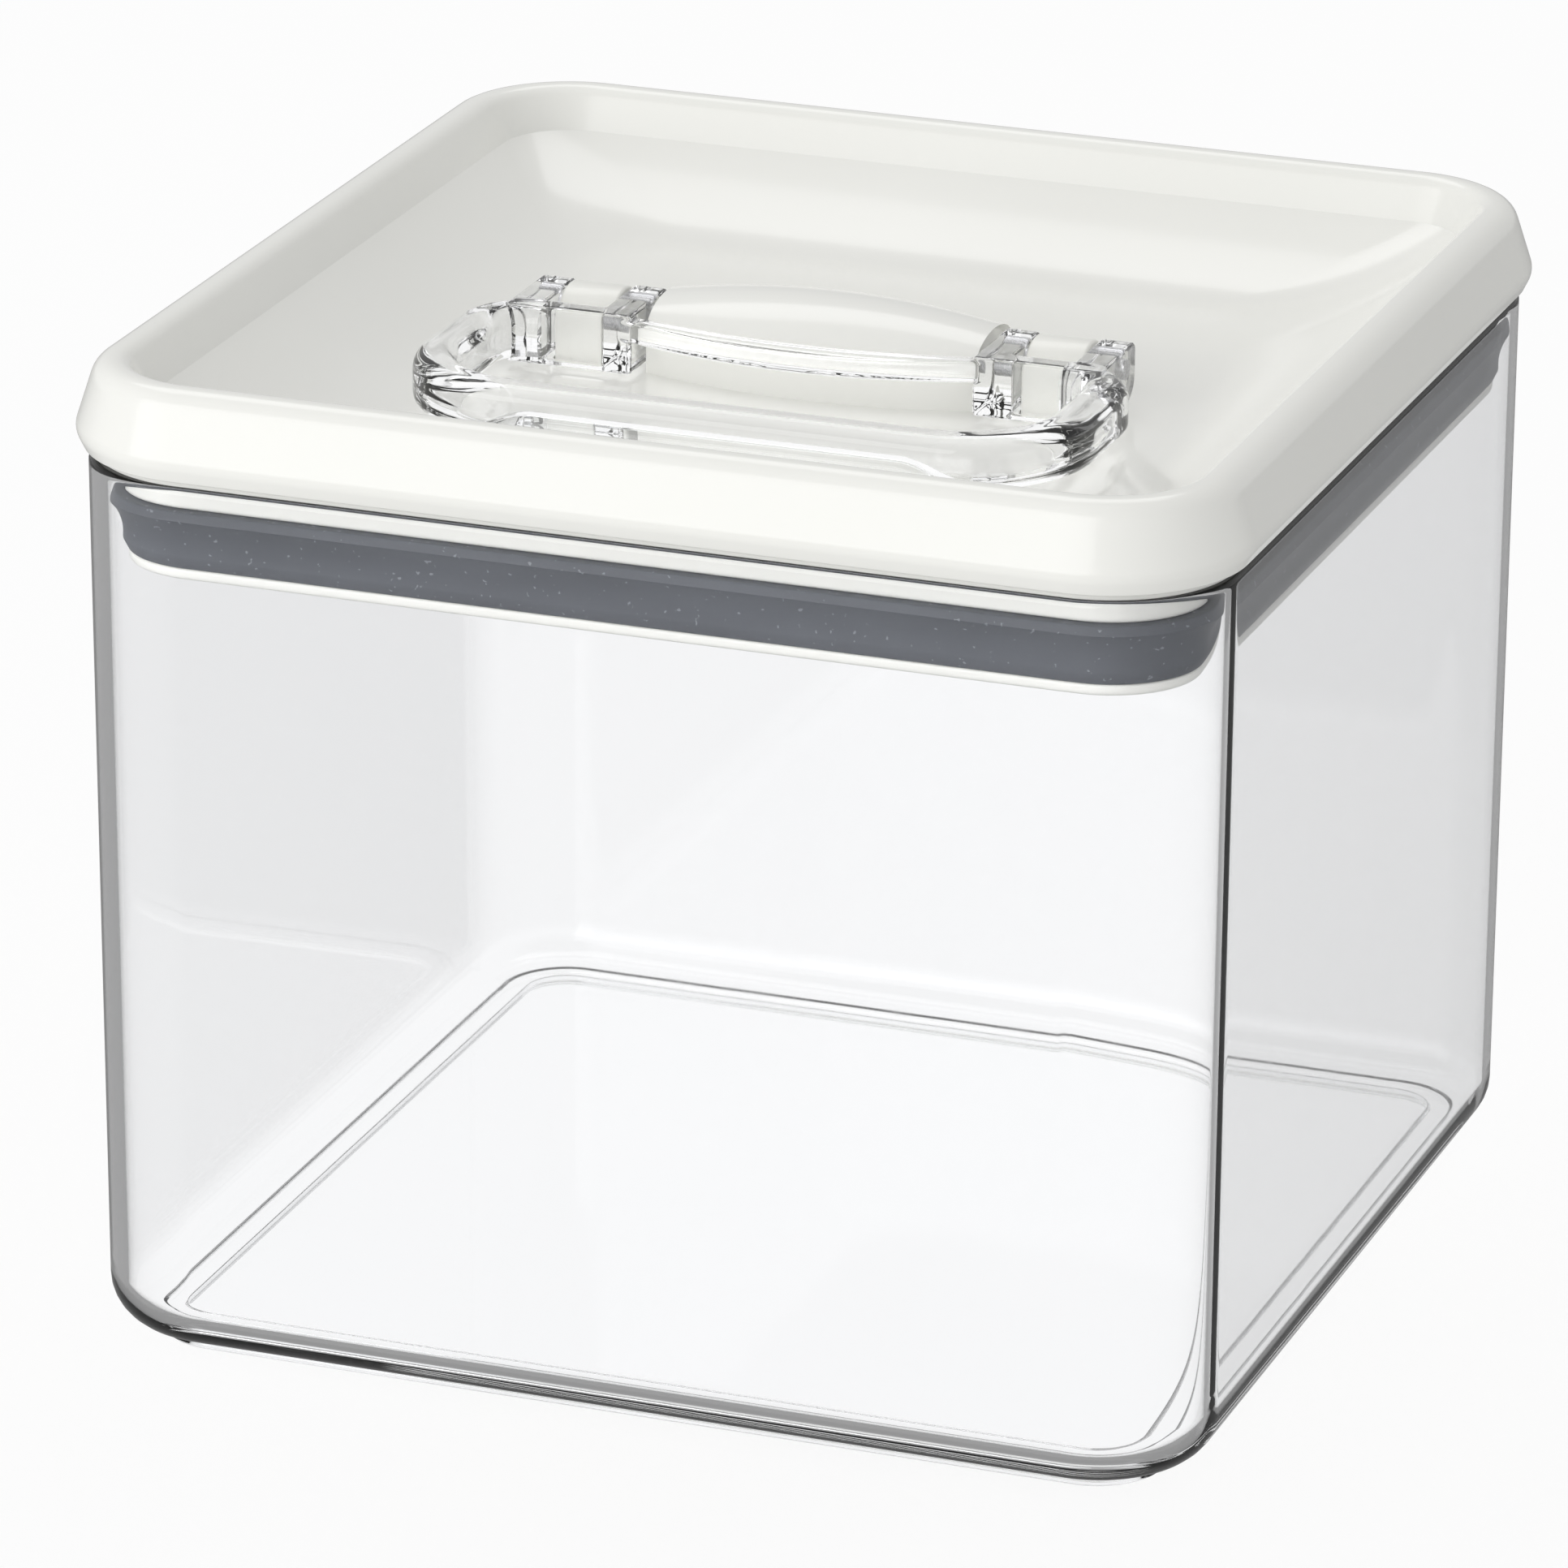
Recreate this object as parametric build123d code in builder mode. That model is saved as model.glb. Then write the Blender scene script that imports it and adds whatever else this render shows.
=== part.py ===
from build123d import *
from math import cos, pi, sin
import os

# Square food canister with a flip-handle lid, in millimetres.
# The clear tub stands on its foot ring at z = 0, with the vertical axis
# through its middle. The grip bar of the handle faces -Y.
#
# The handle's four ears are cams that turn on two pins. Each pin crosses a
# pull post, and the posts carry the plate under the seal. Handle down, the
# plate is drawn up and squeezes the seal outwards. Handle up, the plate
# drops by cam_lift, the seal relaxes and the lid lifts off.

# Tub
tub_half = 82.5          # half width over the walls, at the rim
tub_draft = 0.7          # how far each side draws in towards the base
tub_wall = 2.5
tub_corner = 18.0        # outer radius of the upright corners, at the rim
rim_z = 130.6
rim_chamfer = 0.7
floor_thickness = 3.0
base_round = 7.0         # outer round between walls and base
floor_round = 4.5        # inner round between walls and floor
foot_height = 1.8        # how far the foot ring stands below the base
foot_inset = 7.3         # foot ring in from the lowest edge of the walls
foot_width = 3.5

# Seal and the white ring above it
seal_gap = 0.3           # seal lip to the tub's inner wall
seal_sink = 4.1          # tub rim to the top of the seal
seal_height = 8.8
seal_thickness = 2.9     # at its foot
seal_flare = 2.4         # how far the lip stands out past the foot
seal_hollow = 0.55       # depth of the shallow hollow round the seal's face
plug_inset = 2.1         # plug wall to the tub's inner wall
plug_wall = 2.1
guide_wall = 1.5
guide_gap = 0.8          # guide wall to the seal
guide_drop = 5.3         # how far the guide wall reaches below the seal top
flange_thickness = 1.8
flange_gap = 0.3         # flange edge to the inside of the skirt

# Lid cover
skirt_overhang = 0.8     # lower edge of the skirt out past the tub
lid_corner_ease = 1.5    # how much larger the lid's corner radius is than the tub's
skirt_gap = 1.2          # tub rim to the lower edge of the skirt
lid_height = 12.3        # lower edge of the skirt to the top of the rim
lid_bulge = 1.2          # how far the skirt swells out
bulge_height = 2.8       # the swelling's height above the lower edge
lid_wall = 2.2
skirt_edge = 1.4         # wall of the skirt at its lower edge
rim_lean = 1.9           # how far the skirt leans in, bulge to top round
rim_top_round = 3.6
rim_flat = 1.2           # level band on top of the rim
rim_inner_round = 2.4
rim_width = 9.3          # edge of the skirt to the foot of the rim's inner wall
dish_edge_drop = 6.0     # top of the rim to the edge of the dish
dish_depth = 9.5         # edge of the dish to its flat floor
dish_run = 24.0          # from the rim's inner wall to the flat floor
dish_flat_corner = 14.0
weld_rib = 2.2

# Hinge, posts and plate
hinge_y = 2.6
cam_lift = 2.0           # how far the plate drops when the handle is raised
cam_foot = 5.4           # pin axis to the cam face that bears at rest
cam_gap = 0.6            # that face to the dish floor
pin_radius = 1.5
pin_fit = 0.05           # running clearance in the ears
pin_seat = 0.01          # clearance in the posts
pin_cover = 1.0          # ear wall left over each blind pin end
post_x = 35.0            # middle of each post
post_width = 8.6
post_depth = 9.6
post_rise = 3.6          # pin axis to the top of each post
post_gap = 0.3           # post to the hole in the lid
collar_wall = 2.0
collar_drop = 2.8        # guide collar below the underside of the dish
plate_thickness = 1.7
plate_inset = 2.7        # plate edge to the tub's inner wall
plate_rib = 1.5
plate_rib_height = 1.7
socket_wall = 2.2
socket_height = 5.5
socket_fit = 0.1
stiffener = 1.4
stiffener_height = 3.0

# Mound between the posts
mound_gap = 0.9          # mound to the ears
mound_end_depth = 5.2    # half depth at its ends
mound_end_rise = 3.8     # pin axis to the top of its ends
mound_depth = 12.0       # half depth at mid length
mound_rise = 12.0        # above the dish floor at mid length
mound_shoulder = 3.0     # height at which its sides start to arch, mid length

# Handle
ear_width = 5.0
ear_gap = 0.2            # ear to post
handle_top = 3.3         # above the pin axis
ear_round = 0.8
wall_reach = 12.0        # hinge to the face of the cross wall towards the grip
wall_thickness = 3.5
loop_overhang = 5.3      # loop past the outer ears, each side
loop_reach = 36.6        # that face of the cross wall to the front of the grip
loop_front_corner = 19.0
loop_back_corner = 10.5
grip_depth = 6.7         # the arms are as wide
grip_height = 7.5
loop_round = 2.6         # along its top edges
loop_chamfer = 1.6       # along its lower edges
loop_tail = 0.5          # loop runs on into the cross wall past its back corners
groove_end = 12.0        # groove short of the side of the loop
groove_width = 3.6
groove_depth = 3.6
bridge_height = 3.0
bridge_drop = 0.7        # bridge top below the top of the wall
bridge_depth = 3.0
bridge_bow = 5.5         # how far its front bows towards the grip
bridge_back_bow = 3.6

# Values that follow from those above
skirt_z = rim_z + skirt_gap
lid_top_z = skirt_z + lid_height
dish_edge_z = lid_top_z - dish_edge_drop
dish_floor_z = dish_edge_z - dish_depth
flange_top_z = rim_z + flange_thickness
hinge_z = dish_floor_z + cam_gap + cam_foot
handle_top_z = hinge_z + handle_top
floor_z = foot_height + floor_thickness
tub_centre = tub_half - tub_corner        # the tub's corners turn about here
lid_half = tub_half + skirt_overhang
lid_centre = tub_centre + skirt_overhang - lid_corner_ease    # the lid's corners turn about here
dish_half = lid_half - rim_width
dish_flat = dish_half - dish_run
draft_slope = tub_draft / (rim_z - foot_height)
base_half = tub_half - tub_draft
foot_half = base_half - foot_inset


def tub_inner_half(z):
    """Half width inside the tub at height z."""
    return tub_half - tub_wall - draft_slope * (rim_z - z)


seal_top_z = rim_z - seal_sink
seal_foot_z = seal_top_z - seal_height
seal_lip_half = tub_inner_half(seal_top_z) - seal_gap
seal_foot_half = seal_lip_half - seal_flare
plug_half = tub_inner_half(rim_z) - plug_inset
flange_half = lid_half - skirt_edge - flange_gap
seal_inner_half = seal_foot_half - seal_thickness
guide_half = seal_inner_half - guide_gap
plate_top_z = seal_foot_z
plate_half = tub_inner_half(plate_top_z) - plate_inset
plate_z = plate_top_z - plate_thickness
post_clear_x = post_width + 2 * post_gap
post_clear_y = post_depth + 2 * post_gap
ear_inner_x = post_x - post_width / 2 - ear_gap
ear_outer_x = post_x + post_width / 2 + ear_gap
pin_start_x = ear_inner_x - ear_width + pin_cover
pin_end_x = ear_outer_x + ear_width - pin_cover
wall_front_y = hinge_y - wall_reach
wall_back_y = wall_front_y + wall_thickness
wall_start_x = ear_inner_x - ear_width
wall_end_x = ear_outer_x + ear_width
mound_half = wall_start_x - mound_gap
loop_half = wall_end_x + loop_overhang
loop_front_y = wall_front_y - loop_reach
groove_half = loop_half - groove_end
grip_z = handle_top_z - grip_height


def square_ring(outer_half, inner_half, centre):
    """Sketch of a square ring whose rounded corners turn about one centre."""
    RectangleRounded(2 * outer_half, 2 * outer_half, outer_half - centre)
    RectangleRounded(2 * inner_half, 2 * inner_half, inner_half - centre, mode=Mode.SUBTRACT)


def square_path(half, centre):
    """Closed rounded square in plan, from the middle of the front side."""
    with BuildLine(Plane.XY) as path:
        side = Line((0, -half), (centre, -half))
        for run in (2 * centre, 2 * centre, 2 * centre, centre):
            corner = JernArc(start=side @ 1, tangent=side % 1, radius=half - centre, arc_size=90)
            side = Line(corner @ 1, corner @ 1 + (corner % 1) * run)
    return path.wires()[0]


def arc_points(centre_x, centre_y, reach_x, reach_y, start, end, steps):
    """Points on a quarter of an ellipse, from start to end in degrees.

    Rounds that run round corners are drawn in a few straight steps, which
    keeps their faces few.
    """
    angles = [(start + (end - start) * k / steps) * pi / 180 for k in range(steps + 1)]
    return [(centre_x + reach_x * cos(a), centre_y + reach_y * sin(a)) for a in angles]


# Profiles of the ring-shaped pieces: local x runs outwards, local y upwards.
front_section = Plane(origin=(0, 0, 0), x_dir=(0, -1, 0), z_dir=(-1, 0, 0))


# Clear tub: one wall profile, foot ring included, swept round the square,
# and a floor slab that closes it
slab_half = foot_half - foot_width - 1
with BuildPart() as tub:
    floor_half = tub_inner_half(floor_z)
    with BuildSketch(front_section):
        with BuildLine():
            Polyline(
                (slab_half, floor_z),
                *arc_points(
                    floor_half - floor_round, floor_z + floor_round, floor_round, floor_round, -90, 0, 3,
                ),
                (tub_half - tub_wall, rim_z - rim_chamfer),
                (tub_half - tub_wall + rim_chamfer, rim_z),
                (tub_half - rim_chamfer, rim_z),
                (tub_half, rim_z - rim_chamfer),
                *arc_points(
                    base_half - base_round, foot_height + base_round, base_round, base_round, 0, -90, 4,
                ),
                (foot_half, foot_height),
                (foot_half, 0),
                (foot_half - foot_width, 0),
                (foot_half - foot_width, foot_height),
                (slab_half, foot_height),
                (slab_half, floor_z),
            )
        make_face()
    sweep(path=square_path(foot_half, tub_centre))
    with BuildSketch(Plane.XY.offset(foot_height)):
        RectangleRounded(2 * slab_half, 2 * slab_half, slab_half - tub_centre)
    extrude(amount=floor_thickness)
tub.part.label = "tub"


# White ring welded under the cover: it rests on the tub's rim, its plug wall
# presses on the seal from above, and its guide wall keeps the seal in place
with BuildPart() as lid_base:
    with BuildSketch(Plane.XY.offset(rim_z)):
        square_ring(flange_half, guide_half - guide_wall, lid_centre)
    extrude(amount=flange_thickness)
    with BuildSketch(Plane.XY.offset(seal_top_z)):
        square_ring(plug_half, plug_half - plug_wall, tub_centre)
    extrude(amount=rim_z - seal_top_z)
    with BuildSketch(Plane.XY.offset(seal_top_z - guide_drop)):
        square_ring(guide_half, guide_half - guide_wall, tub_centre)
    extrude(amount=rim_z - seal_top_z + guide_drop)
lid_base.part.label = "lid_base"


# Grey seal: tapers inwards to its foot, with a shallow hollow round its face
with BuildPart() as seal_ring:
    with BuildSketch(front_section):
        lower_z = seal_foot_z + seal_height * 0.18
        upper_z = seal_top_z - seal_height * 0.14
        middle_z = (lower_z + upper_z) / 2
        shoulder = seal_foot_half + seal_flare * 0.3
        middle = (shoulder + seal_lip_half) / 2 - seal_hollow
        with BuildLine():
            Polyline(
                (seal_inner_half, seal_foot_z), (seal_foot_half, seal_foot_z), (shoulder, lower_z),
                (middle, middle_z), (seal_lip_half, upper_z), (seal_lip_half - seal_hollow, seal_top_z),
                (seal_inner_half, seal_top_z), (seal_inner_half, seal_foot_z),
            )
        make_face()
    sweep(path=square_path(seal_foot_half, tub_centre))
seal_ring.part.label = "seal_ring"


def dish_sections(drop):
    """Rounded squares that widen up the wall of the dish, each lowered by drop."""
    sections = []
    for share in (0.0, 1 / 3, 2 / 3, 1.0):
        half = dish_flat + share * (dish_half - dish_flat)
        corner = dish_flat_corner + share * (dish_half - lid_centre - dish_flat_corner)
        with BuildSketch(Plane.XY.offset(dish_floor_z - drop + dish_depth * share * share)) as level:
            RectangleRounded(2 * half, 2 * half, corner)
        sections.append(level.sketch)
    return sections


def mound_section(x, depth, shoulder_z, top_z):
    """Arched section of the mound at x, from inside the dish's panel upwards."""
    foot_z = dish_floor_z - lid_wall / 2
    with BuildSketch(Plane.YZ.offset(x)) as section:
        with BuildLine():
            Line((hinge_y - depth, shoulder_z), (hinge_y - depth, foot_z))
            Line((hinge_y - depth, foot_z), (hinge_y + depth, foot_z))
            Line((hinge_y + depth, foot_z), (hinge_y + depth, shoulder_z))
            EllipticalCenterArc(
                (hinge_y, shoulder_z), depth, top_z - shoulder_z, start_angle=0, arc_size=180,
            )
        make_face()
    return section.sketch


# Lid cover: hollow rim, dished panel, mound, and guide collars for the posts
with BuildPart() as lid_cover:
    loft(dish_sections(lid_wall), ruled=True)
    with BuildSketch(Plane.XY.offset(dish_edge_z - lid_wall)):
        RectangleRounded(2 * dish_half, 2 * dish_half, dish_half - lid_centre)
    extrude(amount=lid_wall)
    loft(dish_sections(0), ruled=True, mode=Mode.SUBTRACT)

    bulge_half = lid_half + lid_bulge
    top_half = bulge_half - rim_lean
    top_round_z = lid_top_z - rim_top_round
    flat_half = top_half - rim_top_round * 0.8
    inner_half = flat_half - rim_flat
    inner_round_z = lid_top_z - rim_inner_round
    with BuildSketch(front_section):
        with BuildLine():
            Polyline(
                (lid_half, skirt_z),
                (bulge_half - lid_bulge * 0.28, skirt_z + bulge_height * 0.4),
                (bulge_half, skirt_z + bulge_height),
                *arc_points(flat_half, top_round_z, top_half - flat_half, rim_top_round, 0, 90, 3),
                *arc_points(inner_half, inner_round_z, rim_inner_round, rim_inner_round, 90, 180, 2),
                (dish_half, dish_edge_z),
                (dish_half - lid_wall / 2, dish_edge_z - lid_wall),
                (dish_half - lid_wall / 2, flange_top_z),
                (dish_half - lid_wall / 2 + weld_rib, flange_top_z),
                (dish_half - lid_wall / 2 + weld_rib, dish_edge_z - lid_wall / 2),
                (inner_half, lid_top_z - lid_wall),
                (flat_half, lid_top_z - lid_wall),
                (top_half - lid_wall, top_round_z),
                (bulge_half - lid_wall, skirt_z + bulge_height),
                (lid_half - skirt_edge, skirt_z),
                (lid_half, skirt_z),
            )
        make_face()
    sweep(path=square_path(lid_half, lid_centre))

    mound_end_z = hinge_z + mound_end_rise
    loft([
        mound_section(-mound_half, mound_end_depth, hinge_z, mound_end_z),
        mound_section(0, mound_depth, dish_floor_z + mound_shoulder, dish_floor_z + mound_rise),
        mound_section(mound_half, mound_end_depth, hinge_z, mound_end_z),
    ])

    with BuildSketch(Plane.XY.offset(dish_floor_z - lid_wall - collar_drop)):
        with Locations((-post_x, hinge_y), (post_x, hinge_y)):
            Rectangle(post_clear_x + 2 * collar_wall, post_clear_y + 2 * collar_wall)
    extrude(amount=collar_drop + lid_wall / 2)
    with BuildSketch(Plane.XY.offset(dish_floor_z - lid_wall - collar_drop)):
        with Locations((-post_x, hinge_y), (post_x, hinge_y)):
            Rectangle(post_clear_x, post_clear_y)
    extrude(amount=collar_drop + 2 * lid_wall, mode=Mode.SUBTRACT)
lid_cover.part.label = "lid_cover"


# White plate under the seal, with sockets for the posts and stiffening ribs
with BuildPart() as inner_plate:
    with BuildSketch(Plane.XY.offset(plate_z)):
        RectangleRounded(2 * plate_half, 2 * plate_half, plate_half - tub_centre)
    extrude(amount=plate_thickness)
    chamfer(inner_plate.faces().sort_by(Axis.Z)[0].edges(), length=plate_thickness / 2)
    with BuildSketch(Plane.XY.offset(plate_top_z)):
        square_ring(guide_half, guide_half - plate_rib, tub_centre)
    extrude(amount=plate_rib_height)
    rib_span = 2 * guide_half - plate_rib
    with BuildSketch(Plane.XY.offset(plate_top_z)):
        with Locations((0, hinge_y)):
            Rectangle(rib_span, stiffener)
        with Locations((-post_x, 0), (post_x, 0)):
            Rectangle(stiffener, rib_span)
    extrude(amount=stiffener_height)
    socket_x = post_width + 2 * socket_fit
    socket_y = post_depth + 2 * socket_fit
    with BuildSketch(Plane.XY.offset(plate_top_z)):
        with Locations((-post_x, hinge_y), (post_x, hinge_y)):
            Rectangle(socket_x + 2 * socket_wall, socket_y + 2 * socket_wall)
    extrude(amount=socket_height)
    with BuildSketch(Plane.XY.offset(plate_top_z)):
        with Locations((-post_x, hinge_y), (post_x, hinge_y)):
            Rectangle(socket_x, socket_y)
    extrude(amount=socket_height, mode=Mode.SUBTRACT)
inner_plate.part.label = "inner_plate"


def make_post(x, label):
    """Pull post centred at x: flat sides, round top about the pin."""
    with BuildPart() as post:
        with BuildSketch(Plane.YZ.offset(x - post_width / 2)):
            with BuildLine():
                Polyline(
                    (hinge_y - post_depth / 2, hinge_z), (hinge_y - post_depth / 2, plate_top_z),
                    (hinge_y + post_depth / 2, plate_top_z), (hinge_y + post_depth / 2, hinge_z),
                )
                ThreePointArc(
                    (hinge_y + post_depth / 2, hinge_z),
                    (hinge_y, hinge_z + post_rise),
                    (hinge_y - post_depth / 2, hinge_z),
                )
            make_face()
            with Locations((hinge_y, hinge_z)):
                Circle(pin_radius + pin_seat, mode=Mode.SUBTRACT)
        extrude(amount=post_width)
    post.part.label = label
    return post.part


def make_pin(start_x, label):
    """Hinge pin that starts at start_x and runs along +X."""
    with BuildPart() as pin:
        with BuildSketch(Plane.YZ.offset(start_x)):
            with Locations((hinge_y, hinge_z)):
                Circle(pin_radius)
        extrude(amount=pin_end_x - pin_start_x)
    pin.part.label = label
    return pin.part


pull_post_left = make_post(-post_x, "pull_post_left")
pull_post_right = make_post(post_x, "pull_post_right")
hinge_pin_left = make_pin(-pin_end_x, "hinge_pin_left")
hinge_pin_right = make_pin(pin_start_x, "hinge_pin_right")


def cam_point(angle):
    """Point of the cam at an angle from straight down, about the pin axis.

    The cam's reach falls evenly from cam_foot by cam_lift over a quarter
    turn, so the plate drops in step with the handle's angle.
    """
    rate = cam_lift / (pi / 2)
    reach = cam_foot - rate * angle
    return (
        hinge_y + reach * sin(angle) - rate * cos(angle),
        hinge_z - reach * cos(angle) - rate * sin(angle),
    )


def ear_profile(x):
    """Side view of an ear at x: flat foot, cam corner, flat back and level top."""
    cam = [cam_point(pi / 2 * share) for share in (0, 0.25, 0.5, 0.75, 1)]
    with BuildSketch(Plane.YZ.offset(x)) as profile:
        with BuildLine():
            Line((wall_back_y, cam[0][1]), cam[0])
            Spline(*cam, tangents=[(1, 0), (0, 1)])
            Polyline(
                cam[-1], (cam[-1][0], handle_top_z - ear_round),
                (cam[-1][0] - ear_round, handle_top_z), (wall_back_y, handle_top_z),
                (wall_back_y, cam[0][1]),
            )
        make_face()
    return profile.sketch


# Clear handle: rounded loop swept from one end of the cross wall to the other,
# then the wall, four ears and a bowed bridge
loop_mid = loop_half - grip_depth / 2
wall_mid_y = wall_back_y - wall_thickness / 2
front_turn = loop_front_corner - grip_depth / 2
back_turn = loop_back_corner - grip_depth / 2
arm_length = wall_mid_y - back_turn - (loop_front_y + loop_front_corner)
loop_start = (-loop_mid + back_turn + loop_tail, wall_mid_y)
with BuildPart() as flip_handle:
    with BuildLine(Plane.XY) as loop_path:
        stub = Line(loop_start, (-loop_mid + back_turn, wall_mid_y))
        turn = JernArc(start=stub @ 1, tangent=stub % 1, radius=back_turn, arc_size=90)
        arm = Line(turn @ 1, turn @ 1 + (turn % 1) * arm_length)
        turn = JernArc(start=arm @ 1, tangent=arm % 1, radius=front_turn, arc_size=90)
        grip = Line(turn @ 1, turn @ 1 + (turn % 1) * 2 * (loop_mid - front_turn))
        turn = JernArc(start=grip @ 1, tangent=grip % 1, radius=front_turn, arc_size=90)
        arm = Line(turn @ 1, turn @ 1 + (turn % 1) * arm_length)
        turn = JernArc(start=arm @ 1, tangent=arm % 1, radius=back_turn, arc_size=90)
        Line(turn @ 1, (-loop_start[0], wall_mid_y))
    loop_z = grip_z + grip_height / 2
    side = grip_depth / 2
    round_y = grip_height / 2 - loop_round
    with BuildSketch(Plane(origin=(*loop_start, loop_z), x_dir=(0, -1, 0), z_dir=(-1, 0, 0))):
        with BuildLine():
            Polyline(
                (loop_chamfer - side, -grip_height / 2),
                (side - loop_chamfer, -grip_height / 2),
                (side, loop_chamfer - grip_height / 2),
                *arc_points(side - loop_round, round_y, loop_round, loop_round, 0, 90, 3),
                *arc_points(loop_round - side, round_y, loop_round, loop_round, 90, 180, 3),
                (-side, loop_chamfer - grip_height / 2),
                (loop_chamfer - side, -grip_height / 2),
            )
        make_face()
    sweep(path=loop_path.wires()[0])

    foot_z = hinge_z - cam_foot
    wall_mid_x = (wall_start_x + wall_end_x) / 2
    with BuildSketch(Plane.XY.offset(foot_z)):
        with Locations((-wall_mid_x, wall_mid_y), (wall_mid_x, wall_mid_y)):
            Rectangle(wall_end_x - wall_start_x, wall_thickness)
    extrude(amount=handle_top_z - foot_z)

    with BuildSketch(Plane.XY.offset(grip_z)):
        with Locations((0, loop_front_y + grip_depth / 2)):
            SlotOverall(2 * groove_half, groove_width)
    extrude(amount=groove_depth, mode=Mode.SUBTRACT)

    bridge_top_z = handle_top_z - bridge_drop
    bridge_x = wall_start_x + wall_thickness / 2
    bridge_back_y = wall_front_y + bridge_depth
    with BuildSketch(Plane.XY.offset(bridge_top_z - bridge_height)):
        with BuildLine():
            ThreePointArc(
                (-bridge_x, wall_front_y), (0, wall_front_y - bridge_bow), (bridge_x, wall_front_y),
            )
            Line((bridge_x, wall_front_y), (bridge_x, bridge_back_y))
            ThreePointArc(
                (bridge_x, bridge_back_y), (0, bridge_back_y - bridge_back_bow), (-bridge_x, bridge_back_y),
            )
            Line((-bridge_x, bridge_back_y), (-bridge_x, wall_front_y))
        make_face()
    extrude(amount=bridge_height)

    for ear_x in (-wall_end_x, -ear_inner_x, wall_start_x, ear_outer_x):
        extrude(ear_profile(ear_x), amount=ear_width)
    for bore_x in (-pin_end_x - pin_fit, pin_start_x - pin_fit):
        with BuildSketch(Plane.YZ.offset(bore_x)):
            with Locations((hinge_y, hinge_z)):
                Circle(pin_radius + pin_fit)
        extrude(amount=pin_end_x - pin_start_x + 2 * pin_fit, mode=Mode.SUBTRACT)
flip_handle.part.label = "flip_handle"


os.makedirs("parts", exist_ok=True)
export_step(tub.part, "parts/tub.step")
export_step(lid_base.part, "parts/lid_base.step")
export_step(seal_ring.part, "parts/seal_ring.step")
export_step(lid_cover.part, "parts/lid_cover.step")
export_step(inner_plate.part, "parts/inner_plate.step")
export_step(pull_post_left, "parts/pull_post_left.step")
export_step(pull_post_right, "parts/pull_post_right.step")
export_step(hinge_pin_left, "parts/hinge_pin_left.step")
export_step(hinge_pin_right, "parts/hinge_pin_right.step")
export_step(flip_handle.part, "parts/flip_handle.step")
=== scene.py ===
"""Looks of a square clear food canister with a dished white lid and a clear flip handle.

Every piece is a surface worked out with numpy in millimetres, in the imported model's own frame, and
put into its mesh in metres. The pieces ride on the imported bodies.
"""

import logging
import math
from dataclasses import dataclass
from enum import Enum
from typing import Callable, Sequence

import bmesh
import bpy
import numpy as np
from mathutils import Matrix, Vector
from mathutils.geometry import delaunay_2d_cdt


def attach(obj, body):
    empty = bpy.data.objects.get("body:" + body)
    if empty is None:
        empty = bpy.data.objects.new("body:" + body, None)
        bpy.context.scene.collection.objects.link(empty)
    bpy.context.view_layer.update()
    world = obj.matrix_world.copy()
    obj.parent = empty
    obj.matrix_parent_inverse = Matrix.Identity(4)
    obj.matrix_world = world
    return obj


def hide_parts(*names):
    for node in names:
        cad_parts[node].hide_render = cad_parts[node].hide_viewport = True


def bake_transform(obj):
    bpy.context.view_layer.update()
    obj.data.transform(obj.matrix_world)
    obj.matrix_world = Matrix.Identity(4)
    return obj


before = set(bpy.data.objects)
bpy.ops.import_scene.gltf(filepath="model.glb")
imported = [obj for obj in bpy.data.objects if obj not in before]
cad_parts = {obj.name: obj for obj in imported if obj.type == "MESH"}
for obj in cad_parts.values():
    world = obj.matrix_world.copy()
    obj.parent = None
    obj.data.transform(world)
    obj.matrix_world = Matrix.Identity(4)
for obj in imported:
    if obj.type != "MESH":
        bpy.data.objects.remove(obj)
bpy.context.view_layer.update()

MM = 0.001
# From each end of a straight side to the extra column that keeps its shading flat, in millimetres
COLUMN_GAP = 0.5
# How far the closed solids of one piece run into each other, in millimetres
OVERLAP = 0.2
WHITE = (1.0, 1.0, 1.0, 1.0)
QUARTER_TURN = math.pi / 2
log = logging.getLogger("canister")


class Body(Enum):
    """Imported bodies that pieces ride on."""

    TUB = "tub"
    LID = "lid"
    PLUNGER = "plunger"
    HANDLE = "handle"


@dataclass(frozen=True)
class Sizes:
    """Sizes shared by several pieces, in millimetres, as in the part's source."""

    tub_half: float = 82.5
    tub_draft: float = 0.7
    tub_wall: float = 2.5
    tub_corner: float = 18.0
    rim_z: float = 130.6
    floor_z: float = 4.8
    foot_height: float = 1.8
    lid_half: float = 83.3
    lid_centre: float = 63.8
    skirt_z: float = 131.8
    lid_top_z: float = 144.1
    dish_edge_z: float = 138.1
    dish_floor_z: float = 128.6
    dish_half: float = 74.0
    dish_flat: float = 50.0
    seal_top_z: float = 126.5
    seal_foot_z: float = 117.7
    guide_half: float = 72.2
    hinge_y: float = 2.6
    hinge_z: float = 134.6
    post_x: float = 35.0
    post_width: float = 8.6
    post_depth: float = 9.6
    ear_width: float = 5.0
    ear_gap: float = 0.2
    handle_top_z: float = 137.9

    @property
    def tub_centre(self) -> float:
        """Centre that the tub's corners turn about, along X and Y."""
        return self.tub_half - self.tub_corner

    def tub_inner_half(self, z: float) -> float:
        """Half width inside the tub.

        Args:
            z: height above the foot.

        Returns:
            Half the distance between the inner faces at that height.
        """
        slope = self.tub_draft / (self.rim_z - self.foot_height)
        return self.tub_half - self.tub_wall - slope * (self.rim_z - z)


SIZES = Sizes()


def smooth_step(values: np.ndarray) -> np.ndarray:
    """Ease from 0 to 1: 3t squared less 2t cubed, held level outside."""
    t = np.clip(values, 0.0, 1.0)
    return t * t * (3.0 - 2.0 * t)


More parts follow.
